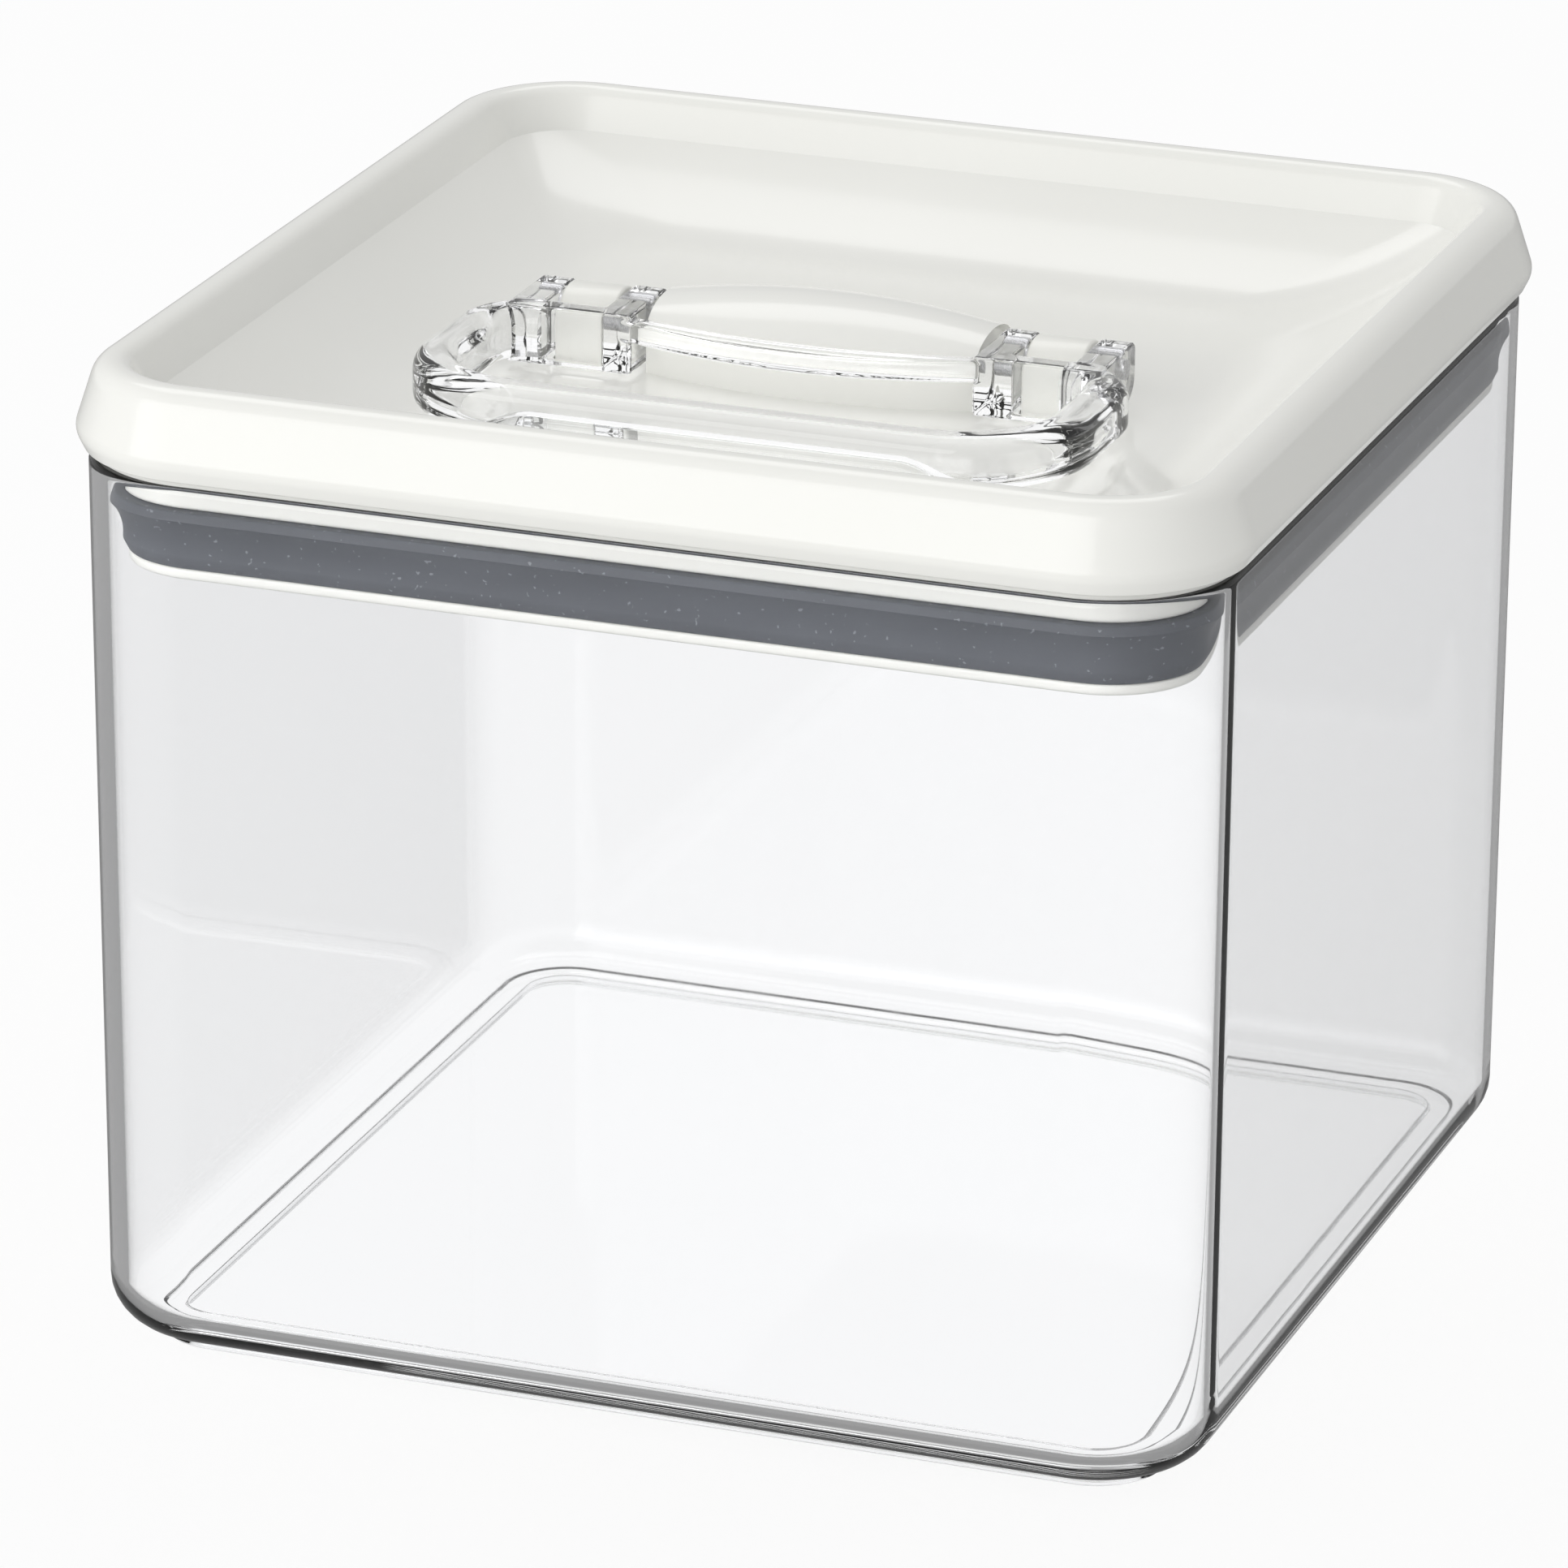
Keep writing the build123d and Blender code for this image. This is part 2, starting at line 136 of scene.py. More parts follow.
def rectangle(low: Sequence[float], high: Sequence[float]) -> np.ndarray:
    """Four corners from the low one, first along the first axis."""
    return np.array([low, (high[0], low[1]), high, (low[0], high[1])], float)


def rounded_corners(points: Sequence[Sequence[float]], radii: Sequence[float], steps: int = 5,
                    closed: bool = True) -> np.ndarray:
    """Flat outline whose corners are arcs.

    Each corner is cut back along both of its sides by the radius over the tangent of half its angle,
    and an arc about the centre on the bisector joins the two cuts.

    Args:
        points: corner points (x, y) in order.
        radii: radius at each corner, 0 for a sharp one.
        steps: segments in each arc.
        closed: whether the last corner joins the first.

    Returns:
        Points of the outline, one per row.
    """
    corners = np.asarray(points, float)
    count = len(corners)
    rows = []
    for index in range(count):
        corner, radius = corners[index], radii[index]
        if radius <= 0 or (not closed and index in (0, count - 1)):
            rows.append(corner[None])
            continue
        back = corners[index - 1] - corner
        ahead = corners[(index + 1) % count] - corner
        back /= np.linalg.norm(back)
        ahead /= np.linalg.norm(ahead)
        half = math.acos(float(np.clip(back @ ahead, -1, 1))) / 2
        bisector = (back + ahead) / np.linalg.norm(back + ahead)
        centre = corner + bisector * radius / math.sin(half)
        start = corner + back * radius / math.tan(half) - centre
        end = corner + ahead * radius / math.tan(half) - centre
        turn = math.copysign(math.pi - 2 * half, float(start[0] * end[1] - start[1] * end[0]))
        angles = turn * np.linspace(0, 1, steps + 1)
        cos, sin = np.cos(angles), np.sin(angles)
        rows.append(centre + np.stack([start[0] * cos - start[1] * sin, start[0] * sin + start[1] * cos], 1))
    return np.concatenate(rows)


def rounded_rows(rows: Sequence[tuple[float, float, float]], steps: int, closed: bool = True) -> np.ndarray:
    """Outline with arcs for corners, from rows of two coordinates and a radius."""
    table = np.array(rows, float)
    return rounded_corners(table[:, :2], table[:, 2], steps, closed)


def length_along(path: np.ndarray) -> np.ndarray:
    """Length along a path at each of its points, from 0."""
    return np.concatenate([[0.0], np.cumsum(np.linalg.norm(np.diff(path, axis=0), axis=1))])


def evenly_spaced(path: np.ndarray, count: int, endpoint: bool = True) -> np.ndarray:
    """Points at equal lengths along a flat path.

    Args:
        path: rows of two coordinates.
        count: number of new points.
        endpoint: whether the last new point is the path's end.

    Returns:
        The new points, one per row.
    """
    run = length_along(path)
    even = np.linspace(0, run[-1], count, endpoint=endpoint)
    return np.stack([np.interp(even, run, path[:, axis]) for axis in (0, 1)], 1)


def with_supports(outline: np.ndarray, closed: bool, gap: float = 0.35) -> np.ndarray:
    """Add a point near both ends of every long straight run, so that smooth shading keeps it flat.

    A run longer than five gaps gets points at one gap from its start and from its end.

    Args:
        outline: rows of points.
        closed: whether the last point joins the first.
        gap: distance of the new points from the ends, in millimetres.

    Returns:
        The outline with the added points.
    """
    ahead = np.roll(outline, -1, 0)
    if not closed:
        ahead[-1] = outline[-1]
    run = ahead - outline
    length = np.linalg.norm(run, axis=1, keepdims=True)
    unit = run / np.maximum(length, 1e-9)
    triples = np.stack([outline, outline + unit * gap, ahead - unit * gap], 1)
    keep = np.stack([np.ones(len(outline), bool)] + [length[:, 0] > 5 * gap] * 2, 1)
    return triples[keep]


def grid_quads(rows: int, cols: int, wrap_rows: bool = False, wrap_cols: bool = False) -> np.ndarray:
    """Corner numbers of the quads of a grid of points stored row by row.

    Args:
        rows: number of rows.
        cols: number of columns.
        wrap_rows: whether the last row joins the first.
        wrap_cols: whether the last column joins the first.

    Returns:
        Array of four point numbers per quad.
    """
    i = np.arange(rows if wrap_rows else rows - 1)[:, None]
    j = np.arange(cols if wrap_cols else cols - 1)[None, :]
    i2, j2 = (i + 1) % rows, (j + 1) % cols
    quads = np.stack([i * cols + j, i * cols + j2, i2 * cols + j2, i2 * cols + j], -1)
    return quads.reshape(-1, 4)


@dataclass
class Surface:
    """Points in millimetres and the faces between them."""

    points: np.ndarray
    faces: list[Sequence[int]]

    @staticmethod
    def joined(parts: Sequence["Surface"]) -> "Surface":
        """Several surfaces as one: each one's point numbers move on by the points before it.

        Args:
            parts: the surfaces, in order.

        Returns:
            The one surface.
        """
        starts = np.cumsum([0] + [len(part.points) for part in parts])
        faces = []
        for part, start in zip(parts, starts):
            faces += [[number + start for number in face] for face in part.faces]
        return Surface(np.concatenate([part.points for part in parts]), faces)

    @staticmethod
    def tube(rings: np.ndarray) -> "Surface":
        """Rings of points joined one to the next, with a flat face over the first and the last.

        Args:
            rings: points by ring, by place round the ring, and by axis.

        Returns:
            The closed surface.
        """
        rows, cols = rings.shape[:2]
        faces = grid_quads(rows, cols, wrap_cols=True).tolist()
        faces.append(list(range(cols)))
        faces.append(list(range((rows - 1) * cols, rows * cols)))
        return Surface(rings.reshape(-1, 3), faces)

    def mirrored(self) -> "Surface":
        """Mirror image across the plane x = 0, with its faces turned the right way out."""
        return Surface(self.points * np.array([-1.0, 1.0, 1.0]), [list(face)[::-1] for face in self.faces])

    def to_object(self, name: str, sharp_angle: float = 40.0) -> bpy.types.Object:
        """Mesh object with merged doubles, outward faces and smooth shading.

        Args:
            name: name of the object and its mesh.
            sharp_angle: edges that turn by more than this many degrees stay sharp.

        Returns:
            The new object, at the origin.
        """
        mesh = bpy.data.meshes.new(name)
        mesh.from_pydata((self.points * MM).tolist(), [], [list(map(int, face)) for face in self.faces])
        work = bmesh.new()
        work.from_mesh(mesh)
        bmesh.ops.remove_doubles(work, verts=work.verts, dist=1e-6)
        bmesh.ops.recalc_face_normals(work, faces=work.faces)
        work.to_mesh(mesh)
        work.free()
        mesh.shade_smooth()
        mesh.set_sharp_from_angle(angle=math.radians(sharp_angle))
        piece = bpy.data.objects.new(name, mesh)
        bpy.context.collection.objects.link(piece)
        return piece


def square_track(centre: float, corner_steps: int = 20, side_steps: int = 6) -> tuple[np.ndarray, np.ndarray]:
    """Stations round a square whose corners turn about (+-centre, +-centre).

    A point at distance u from the middle of a side lies at base + u * way: on a side, base slides
    along it and way is its outward normal; round a corner, way turns and base is the corner's centre
    less centre times way.

    Args:
        centre: distance of the corner centres from both axes.
        corner_steps: segments round each corner.
        side_steps: stations along each side, past its first.

    Returns:
        Base points and outward directions, one row per station.
    """
    bases, ways = [], []
    for quarter in range(4):
        angle = (quarter - 1) * QUARTER_TURN
        out = np.array([math.cos(angle), math.sin(angle)])
        along = np.array([-out[1], out[0]])
        inner = np.linspace(COLUMN_GAP - centre, centre - COLUMN_GAP, side_steps)
        bases.append(np.concatenate([[-centre], inner])[:, None] * along)
        ways.append(np.repeat(out[None], side_steps + 1, 0))
        turn = angle + np.linspace(0, QUARTER_TURN, corner_steps, endpoint=False)
        way = np.stack([np.cos(turn), np.sin(turn)], 1)
        bases.append(centre * (out + along) - centre * way)
        ways.append(way)
    return np.concatenate(bases), np.concatenate(ways)


def swept_square(profile: np.ndarray, centre: float, closed: bool = True, corner_steps: int = 20) -> Surface:
    """Profile carried round a rounded square.

    Args:
        profile: rows of (distance outwards, height).
        centre: distance of the corner centres from both axes.
        closed: whether the profile is a closed ring; an open one is capped at both ends.
        corner_steps: segments round each corner.

    Returns:
        The closed surface.
    """
    bases, ways = square_track(centre, corner_steps)
    profile = with_supports(profile, closed)
    flat = bases[:, None, :] + profile[None, :, 0, None] * ways[:, None, :]
    high = np.broadcast_to(profile[None, :, 1, None], flat.shape[:2] + (1,))
    points = np.concatenate([flat, high], 2).reshape(-1, 3)
    stations, cols = len(bases), len(profile)
    faces = grid_quads(stations, cols, wrap_rows=True, wrap_cols=closed).tolist()
    if not closed:
        ring = np.arange(stations) * cols
        faces.append(ring.tolist())
        faces.append((ring + cols - 1).tolist())
    return Surface(points, faces)


def rounded_prism(outline: np.ndarray, start: float, end: float, edge: float, steps: int = 4) -> Surface:
    """Convex side view carried along X, with its edges rounded.

    Towards each end the outline shrinks along its own normals by edge * (1 - cos t) while x runs out
    by edge * sin t.

    Args:
        outline: closed rows of (y, z).
        start: lowest x.
        end: highest x.
        edge: radius of the rounded edges.
        steps: segments in each rounded edge.

    Returns:
        The closed surface.
    """
    ahead = np.roll(outline, -1, 0) - np.roll(outline, 1, 0)
    normal = np.stack([ahead[:, 1], -ahead[:, 0]], 1)
    normal /= np.linalg.norm(normal, axis=1, keepdims=True)
    area = np.sum(outline[:, 0] * np.roll(outline[:, 1], -1) - np.roll(outline[:, 0], -1) * outline[:, 1])
    normal *= np.sign(area)
    t = np.linspace(QUARTER_TURN, 0, steps + 1)
    inset = np.concatenate([edge * (1 - np.cos(t)), edge * (1 - np.cos(t[::-1]))])
    xs = np.concatenate([start + edge - edge * np.sin(t), end - edge + edge * np.sin(t[::-1])])
    side = outline[None] - inset[:, None, None] * normal[None]
    x = np.broadcast_to(xs[:, None, None], side.shape[:2] + (1,))
    return Surface.tube(np.concatenate([x, side], 2))


def carried_section(path: np.ndarray, section: Callable[[np.ndarray], np.ndarray], z: float) -> Surface:
    """Section carried along a level path and capped at both ends.

    Args:
        path: rows of (x, y); the section's first axis points to the left of the way along it.
        section: takes the distance along the path at every station and returns, for each, rows of
            (left, up) round the section.
        z: height of the section's origin.

    Returns:
        The closed surface.
    """
    way = np.gradient(path, axis=0)
    way /= np.linalg.norm(way, axis=1, keepdims=True)
    left = np.stack([-way[:, 1], way[:, 0]], 1)
    shape = section(length_along(path))
    flat = path[:, None, :] + shape[:, :, 0, None] * left[:, None, :]
    return Surface.tube(np.concatenate([flat, shape[:, :, 1, None] + z], 2))


class Term:
    """A shader socket that takes part in sums."""

    def __init__(self, graph: "Graph", socket: bpy.types.NodeSocket) -> None:
        """Keep the graph and the output socket."""
        self.graph = graph
        self.socket = socket

    def _math(self, operation: str, first: "Term | float", second: "Term | float",
              clamp: bool = False) -> "Term":
        """One maths node on two inputs.

        Args:
            operation: name of the node's operation.
            first: term or number.
            second: term or number.
            clamp: whether the result is held between 0 and 1.

        Returns:
            The node's result.
        """
        return self.graph.node("ShaderNodeMath", "Value", {0: first, 1: second}, operation=operation,
                               use_clamp=clamp)

    def __add__(self, other: "Term | float") -> "Term":
        """This plus the other."""
        return self._math("ADD", self, other)

    __radd__ = __add__

    def __mul__(self, other: "Term | float") -> "Term":
        """This times the other."""
        return self._math("MULTIPLY", self, other)

    __rmul__ = __mul__

    def __sub__(self, other: "Term | float") -> "Term":
        """This less the other."""
        return self._math("SUBTRACT", self, other)

    def __rsub__(self, other: "Term | float") -> "Term":
        """The other less this."""
        return self._math("SUBTRACT", other, self)

    def over(self, edge: float, width: float) -> "Term":
        """0 below edge, 1 above edge + width, straight between."""
        return self._math("DIVIDE", self - edge, width, clamp=True)


class Graph:
    """Node tree whose nodes are each added and joined by one call."""

    def __init__(self, tree: bpy.types.NodeTree) -> None:
        """Keep the tree."""
        self.tree = tree

    def feed(self, socket: bpy.types.NodeSocket, value: object) -> None:
        """Join a term to an input, or set the input to a constant.

        Args:
            socket: the input.
            value: term or constant.
        """
        if isinstance(value, Term):
            self.tree.links.new(value.socket, socket)
        else:
            socket.default_value = value

    def node(self, kind: str, output: str | int, inputs: dict[str | int, object] | None = None,
             **settings: object) -> Term:
        """Add a node, set it up and join its inputs.

        Args:
            kind: type name of the node.
            output: name or number of the output that is used.
            inputs: values or terms by input name or number.
            settings: properties of the node.

        Returns:
            The chosen output.
        """
        made = self.tree.nodes.new(kind)
        for key, value in settings.items():
            setattr(made, key, value)
        for key, value in (inputs or {}).items():
            self.feed(made.inputs[key], value)
        return Term(self, made.outputs[output])

    def light_path(self, output: str) -> Term:
        """One output of the Light Path node, which says what kind of ray looks."""
        return self.node("ShaderNodeLightPath", output)

    def mix_shaders(self, share: Term, first: Term, second: Term) -> Term:
        """The first shader where the share is 0, the second where it is 1."""
        return self.node("ShaderNodeMixShader", "Shader", {0: share, 1: first, 2: second})


class MaterialGraph(Graph):
    """Node tree of one material, with its Principled shader."""

    # Numbers of the Mix node's sockets for colours: its factor, its inputs A and B, and its output
    MIX_SHARE = 0
    MIX_LOW = 6
    MIX_HIGH = 7
    MIX_RESULT = 2

    def __init__(self, name: str) -> None:
        """Start a material.

        Args:
            name: the material's name.
        """
        self.material = bpy.data.materials.new(name)
        self.material.use_nodes = True
        super().__init__(self.material.node_tree)
        self.shader = self.tree.nodes["Principled BSDF"]

    def noise(self, size_mm: float, detail: float = 2.0,
              stretch: tuple[float, float, float] = (1, 1, 1)) -> Term:
        """Noise between 0 and 1 on Object coordinates.

        Args:
            size_mm: rough size of its patches.
            detail: octaves.
            stretch: scale of the coordinates along X, Y and Z.

        Returns:
            The noise factor.
        """
        place = self.node("ShaderNodeTexCoord", "Object")
        where = self.node("ShaderNodeMapping", "Vector", {"Vector": place, "Scale": stretch})
        patches_per_metre = 1 / MM / size_mm
        return self.node("ShaderNodeTexNoise", "Fac",
                         {"Vector": where, "Scale": patches_per_metre, "Detail": detail, "Roughness": 0.5})

    def blend(self, share: Term, low: Sequence[float] | Term, high: Sequence[float]) -> Term:
        """Colour between two colours.

        Args:
            share: 0 for the low colour, 1 for the high one.
            low: red, green and blue, or a term.
            high: red, green and blue.

        Returns:
            The mixed colour.
        """
        start = low if isinstance(low, Term) else (*low, 1.0)
        inputs = {self.MIX_SHARE: share, self.MIX_LOW: start, self.MIX_HIGH: (*high, 1.0)}
        return self.node("ShaderNodeMix", self.MIX_RESULT, inputs, data_type="RGBA")

    def set(self, **values: object) -> None:
        """Set or join the Principled shader's inputs, named with underscores for spaces."""
        for key, value in values.items():
            self.feed(self.shader.inputs[key.replace("_", " ")], value)

    def bump(self, height: Term, strength: float, distance_mm: float) -> None:
        """Bump from a height between 0 and 1, joined to the shader's normal.

        Args:
            height: the height.
            strength: strength of the bump.
            distance_mm: depth that a height of 1 stands for.
        """
        made = self.node("ShaderNodeBump", "Normal",
                         {"Height": height, "Strength": strength, "Distance": distance_mm * MM})
        self.set(Normal=made)


@dataclass(frozen=True)
class WhitePlastic:
    """Glossy moulded white plastic with faint mould waviness."""

    name: str
    colour: tuple[float, float, float] = (0.9, 0.9, 0.865)
    shade: tuple[float, float, float] = (0.87, 0.87, 0.83)
    roughness: float = 0.16
    roughness_spread: float = 0.05
    waviness: float = 0.05

    def material(self) -> bpy.types.Material:
        """Broad patches of two whites, fine grain in the roughness, and a slow wave.

        Returns:
            The new material.
        """
        g = MaterialGraph(self.name)
        patches = g.noise(size_mm=45.0, detail=1.0)
        grain = g.noise(size_mm=0.7, detail=3.0)
        g.set(Base_Color=g.blend(patches, self.shade, self.colour),
              Roughness=self.roughness + grain * self.roughness_spread, IOR=1.5, Coat_Roughness=0.04,
              Coat_Weight=0.15)
        g.bump(g.noise(size_mm=9.0, detail=2.0), self.waviness, distance_mm=0.15)
        return g.material


@dataclass(frozen=True)
class ClearPlastic:
    """Polished clear plastic."""

    name: str
    colour: tuple[float, float, float] = (0.985, 0.99, 0.995)
    clearer: tuple[float, float, float] = (0.995, 0.995, 1.0)
    roughness: float = 0.02
    haze_roughness: float = 0.03
    ior: float = 1.43
    waviness: float = 0.03

    def material(self) -> bpy.types.Material:
        """Clear body with patches of faint haze and a slow wave.

        Returns:
            The new material.
        """
        g = MaterialGraph(self.name)
        haze = g.noise(size_mm=6.0, detail=3.0).over(edge=0.45, width=0.5)
        g.set(Base_Color=g.blend(g.noise(size_mm=30.0), self.colour, self.clearer),
              Roughness=haze * self.haze_roughness + self.roughness, IOR=self.ior, Transmission_Weight=1.0)
        g.bump(g.noise(size_mm=14.0, detail=1.0), self.waviness, distance_mm=0.2)
        return g.material


@dataclass(frozen=True)
class Silicone:
    """Slate grey silicone with pale dust specks."""

    name: str
    colour: tuple[float, float, float] = (0.12, 0.128, 0.145)
    colour_spread: float = 0.15
    speck: tuple[float, float, float] = (0.3, 0.32, 0.34)
    speck_share: float = 0.7
    roughness: float = 0.4
    roughness_spread: float = 0.12

    def material(self) -> bpy.types.Material:
        """Cloudy grey, with specks where a fine noise peaks.

        Returns:
            The new material.
        """
        g = MaterialGraph(self.name)
        dust = g.noise(size_mm=0.9, detail=2.0).over(edge=0.68, width=0.04)
        clouds = g.noise(size_mm=22.0, detail=2.0, stretch=(1, 1, 3))
        darker = tuple(c * (1 - self.colour_spread) for c in self.colour)
        lighter = tuple(c * (1 + self.colour_spread) for c in self.colour)
        grey = g.blend(clouds, darker, lighter)
        g.set(Base_Color=g.blend(dust * self.speck_share, grey, self.speck),
              Roughness=self.roughness + clouds * self.roughness_spread, IOR=1.41, Specular_IOR_Level=0.3)
        g.bump(g.noise(size_mm=0.5, detail=3.0), strength=0.15, distance_mm=0.05)
        return g.material


@dataclass(frozen=True)
class Steel:
    """Turned stainless steel, brushed round the pin's length."""

    name: str
    colour: tuple[float, float, float] = (0.66, 0.66, 0.68)
    line_shade: float = 0.9
    roughness: float = 0.22
    roughness_spread: float = 0.12

    def material(self) -> bpy.types.Material:
        """Fine lines across X that change the colour, the roughness and the bump.

        Returns:
            The new material.
        """
        g = MaterialGraph(self.name)
        lines = g.noise(size_mm=0.6, detail=2.0, stretch=(6, 1, 1))
        darker = tuple(c * self.line_shade for c in self.colour)
        g.set(Base_Color=g.blend(lines, darker, self.colour), Metallic=1.0,
              Roughness=self.roughness + lines * self.roughness_spread)
        g.bump(lines, strength=0.1, distance_mm=0.02)
        return g.material


def dress(piece: bpy.types.Object, finish: bpy.types.Material, body: Body, slot: str, *nodes: str) -> None:
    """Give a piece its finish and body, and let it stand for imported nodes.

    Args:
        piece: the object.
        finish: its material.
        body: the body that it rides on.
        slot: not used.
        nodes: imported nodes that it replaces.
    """
    piece.data.materials.clear()
    piece.data.materials.append(finish)
    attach(piece, body.value)
    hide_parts(*nodes)
    log.info("%s: %d faces, on %s", piece.name, len(piece.data.polygons), body.value)


@dataclass
class Tub:
    """Clear tub: closed shell with drafted walls, rounded base and foot ring."""

    base_round: float = 7.0
    floor_round: float = 4.5
    foot_inset: float = 7.3
    foot_width: float = 3.5
    foot_edge: float = 0.45
    foot_join: float = 0.3
    rim_round: float = 0.9
    cap_inset: float = 1.0

    def profile(self) -> np.ndarray:
        """Section from the underside out, up the wall, over the rim and down to the floor.

        Returns:
            Rows of (distance outwards, height). Flat faces close it inside the foot ring.
        """
        s = SIZES
        base = s.tub_half - s.tub_draft
        foot = base - self.foot_inset
        foot_in = foot - self.foot_width
        cap = foot_in - self.cap_inset
        rows = [
            (cap, s.foot_height, 0),
            (foot_in, s.foot_height, self.foot_join),
            (foot_in, 0, self.foot_edge),
            (foot, 0, self.foot_edge),
            (foot, s.foot_height, self.foot_join),
            (base, s.foot_height, self.base_round),
            (s.tub_half, s.rim_z, self.rim_round),
            (s.tub_half - s.tub_wall, s.rim_z, self.rim_round),
            (s.tub_inner_half(s.floor_z), s.floor_z, self.floor_round),
            (cap, s.floor_z, 0),
        ]
        return rounded_rows(rows, steps=8, closed=False)

    def build(self, finish: bpy.types.Material) -> None:
        """Make the tub, which casts no shadow, so that light reaches the pieces inside it.

        Args:
            finish: clear plastic.
        """
        shell = swept_square(self.profile(), SIZES.tub_centre, closed=False, corner_steps=28)
        piece = shell.to_object("clear_tub_shell", sharp_angle=50)
        dress(piece, finish, Body.TUB, "clear_tub", "tub")
        piece.visible_shadow = False


@dataclass
class LidCover:
    """White cover: hollow rim, dished panel, mound between the posts, and collars under their holes."""

    panel: float = 2.2
    skirt_wall: float = 1.4
    skirt_inner_edge: float = 0.4
    skirt_outer_edge: float = 0.5
    swell: float = 1.25
    swell_height: float = 2.6
    swell_round: float = 2.6
    swell_wall: float = 1.2
    swell_inner_height: float = 3.0
    top_lean: float = 1.9
    top_outer_round: float = 3.4
    top_inner_half: float = 77.2
    top_inner_round: float = 2.2
    top_wall: float = 2.4
    hollow_half: float = 78.0
    hollow_wall: float = 4.0
    hollow_drop: float = 0.6
    hollow_foot_round: float = 0.5
    hollow_round: float = 1.0
    inner_wall: float = 1.1
    inner_wall_foot_z: float = 132.6
    inner_wall_edge: float = 0.3
    dish_edge_round: float = 0.9
    dish_rings: int = 26
    dish_turn_points: int = 24
    support_share: float = -0.02
    flat_corner: float = 14.0
    hole_gap: float = 0.3
    hole_round: float = 0.5
    collar: float = 2.8
    collar_wall: float = 2.0
    mound_half: float = 24.6
    mound_end_depth: float = 8.0
    mound_depth: float = 12.0
    mound_end_rise: float = 3.8
    mound_rise: float = 12.0
    mound_shoulder: float = 3.0
    mound_end_bevel: float = 0.9
    mound_sink: float = 1.0
    mound_points: int = 41
    bevel_points: int = 6

    def rim(self) -> Surface:
        """Hollow rim: skirt that swells and leans in, round top, inner wall down to the dish.

        Returns:
            The closed rim.
        """
        s = SIZES
        inner_low, inner_high = s.dish_half - self.inner_wall, s.dish_half + self.inner_wall
        rows = [
            (s.lid_half - self.skirt_wall, s.skirt_z, self.skirt_inner_edge),
            (s.lid_half, s.skirt_z, self.skirt_outer_edge),
            (s.lid_half + self.swell, s.skirt_z + self.swell_height, self.swell_round),
            (s.lid_half - self.top_lean, s.lid_top_z, self.top_outer_round),
            (self.top_inner_half, s.lid_top_z, self.top_inner_round),
            (s.dish_half, s.dish_edge_z, self.dish_edge_round),
            (inner_low, s.dish_edge_z - self.panel, self.inner_wall_edge),
            (inner_low, self.inner_wall_foot_z, self.inner_wall_edge),
            (inner_high, self.inner_wall_foot_z, self.inner_wall_edge),
            (inner_high, s.dish_edge_z - self.hollow_drop, self.hollow_foot_round),
            (self.hollow_half, s.lid_top_z - self.top_wall, self.hollow_round),
            (s.lid_half - self.hollow_wall, s.lid_top_z - self.top_wall, self.hollow_round),
            (s.lid_half - self.swell_wall, s.skirt_z + self.swell_inner_height, self.hollow_round),
        ]
        return swept_square(rounded_rows(rows, steps=7), s.lid_centre, corner_steps=30)

    def slope(self) -> np.ndarray:
        """Rings of the dish's slope, from the flat floor to the rim.

        As a share goes from 0 to 1, the rounded square widens from the flat floor to the rim, its corner
        radius goes evenly from one to the other, and its height rises by the share squared. One more
        ring just inside the first keeps the floor flat under smooth shading, and so does one more point
        near each end of every straight side.

        Returns:
            Points by ring, by place round the ring, and by axis.
        """
        s = SIZES
        share = np.concatenate([[self.support_share], np.linspace(0, 1, self.dish_rings)])[:, None]
        half = s.dish_flat + share * (s.dish_half - s.dish_flat)
        corner = self.flat_corner + share * (s.dish_half - s.lid_centre - self.flat_corner)
        centre = half - corner
        turn = np.linspace(0, QUARTER_TURN, self.dish_turn_points)
        turn = np.concatenate([turn[:1], turn, turn[-1:]])
        angles = np.concatenate([turn + quarter * QUARTER_TURN for quarter in range(4)])
        slide = np.tile(np.concatenate([[-COLUMN_GAP], np.zeros(self.dish_turn_points), [COLUMN_GAP]]), 4)
        cos, sin = np.cos(angles), np.sin(angles)
        x = np.repeat([1, -1, -1, 1], len(turn)) * centre + corner * cos - slide * sin
        y = np.repeat([1, 1, -1, -1], len(turn)) * centre + corner * sin + slide * cos
        rise = s.dish_edge_z - s.dish_floor_z
        z = np.broadcast_to(s.dish_floor_z + rise * np.maximum(share, 0) ** 2, x.shape)
        return np.stack([x, y, z], -1)

    def hole(self, side: int, grow: float) -> np.ndarray:
        """Outline round a pull post.

        Args:
            side: -1 for the left post, 1 for the right one.
            grow: distance from the post's faces.

        Returns:
            Rows of (x, y).
        """
        s = SIZES
        half = np.array([s.post_width, s.post_depth]) / 2 + grow
        centre = np.array([side * s.post_x, s.hinge_y])
        return rounded_corners(rectangle(centre - half, centre + half), [self.hole_round] * 4, steps=4)

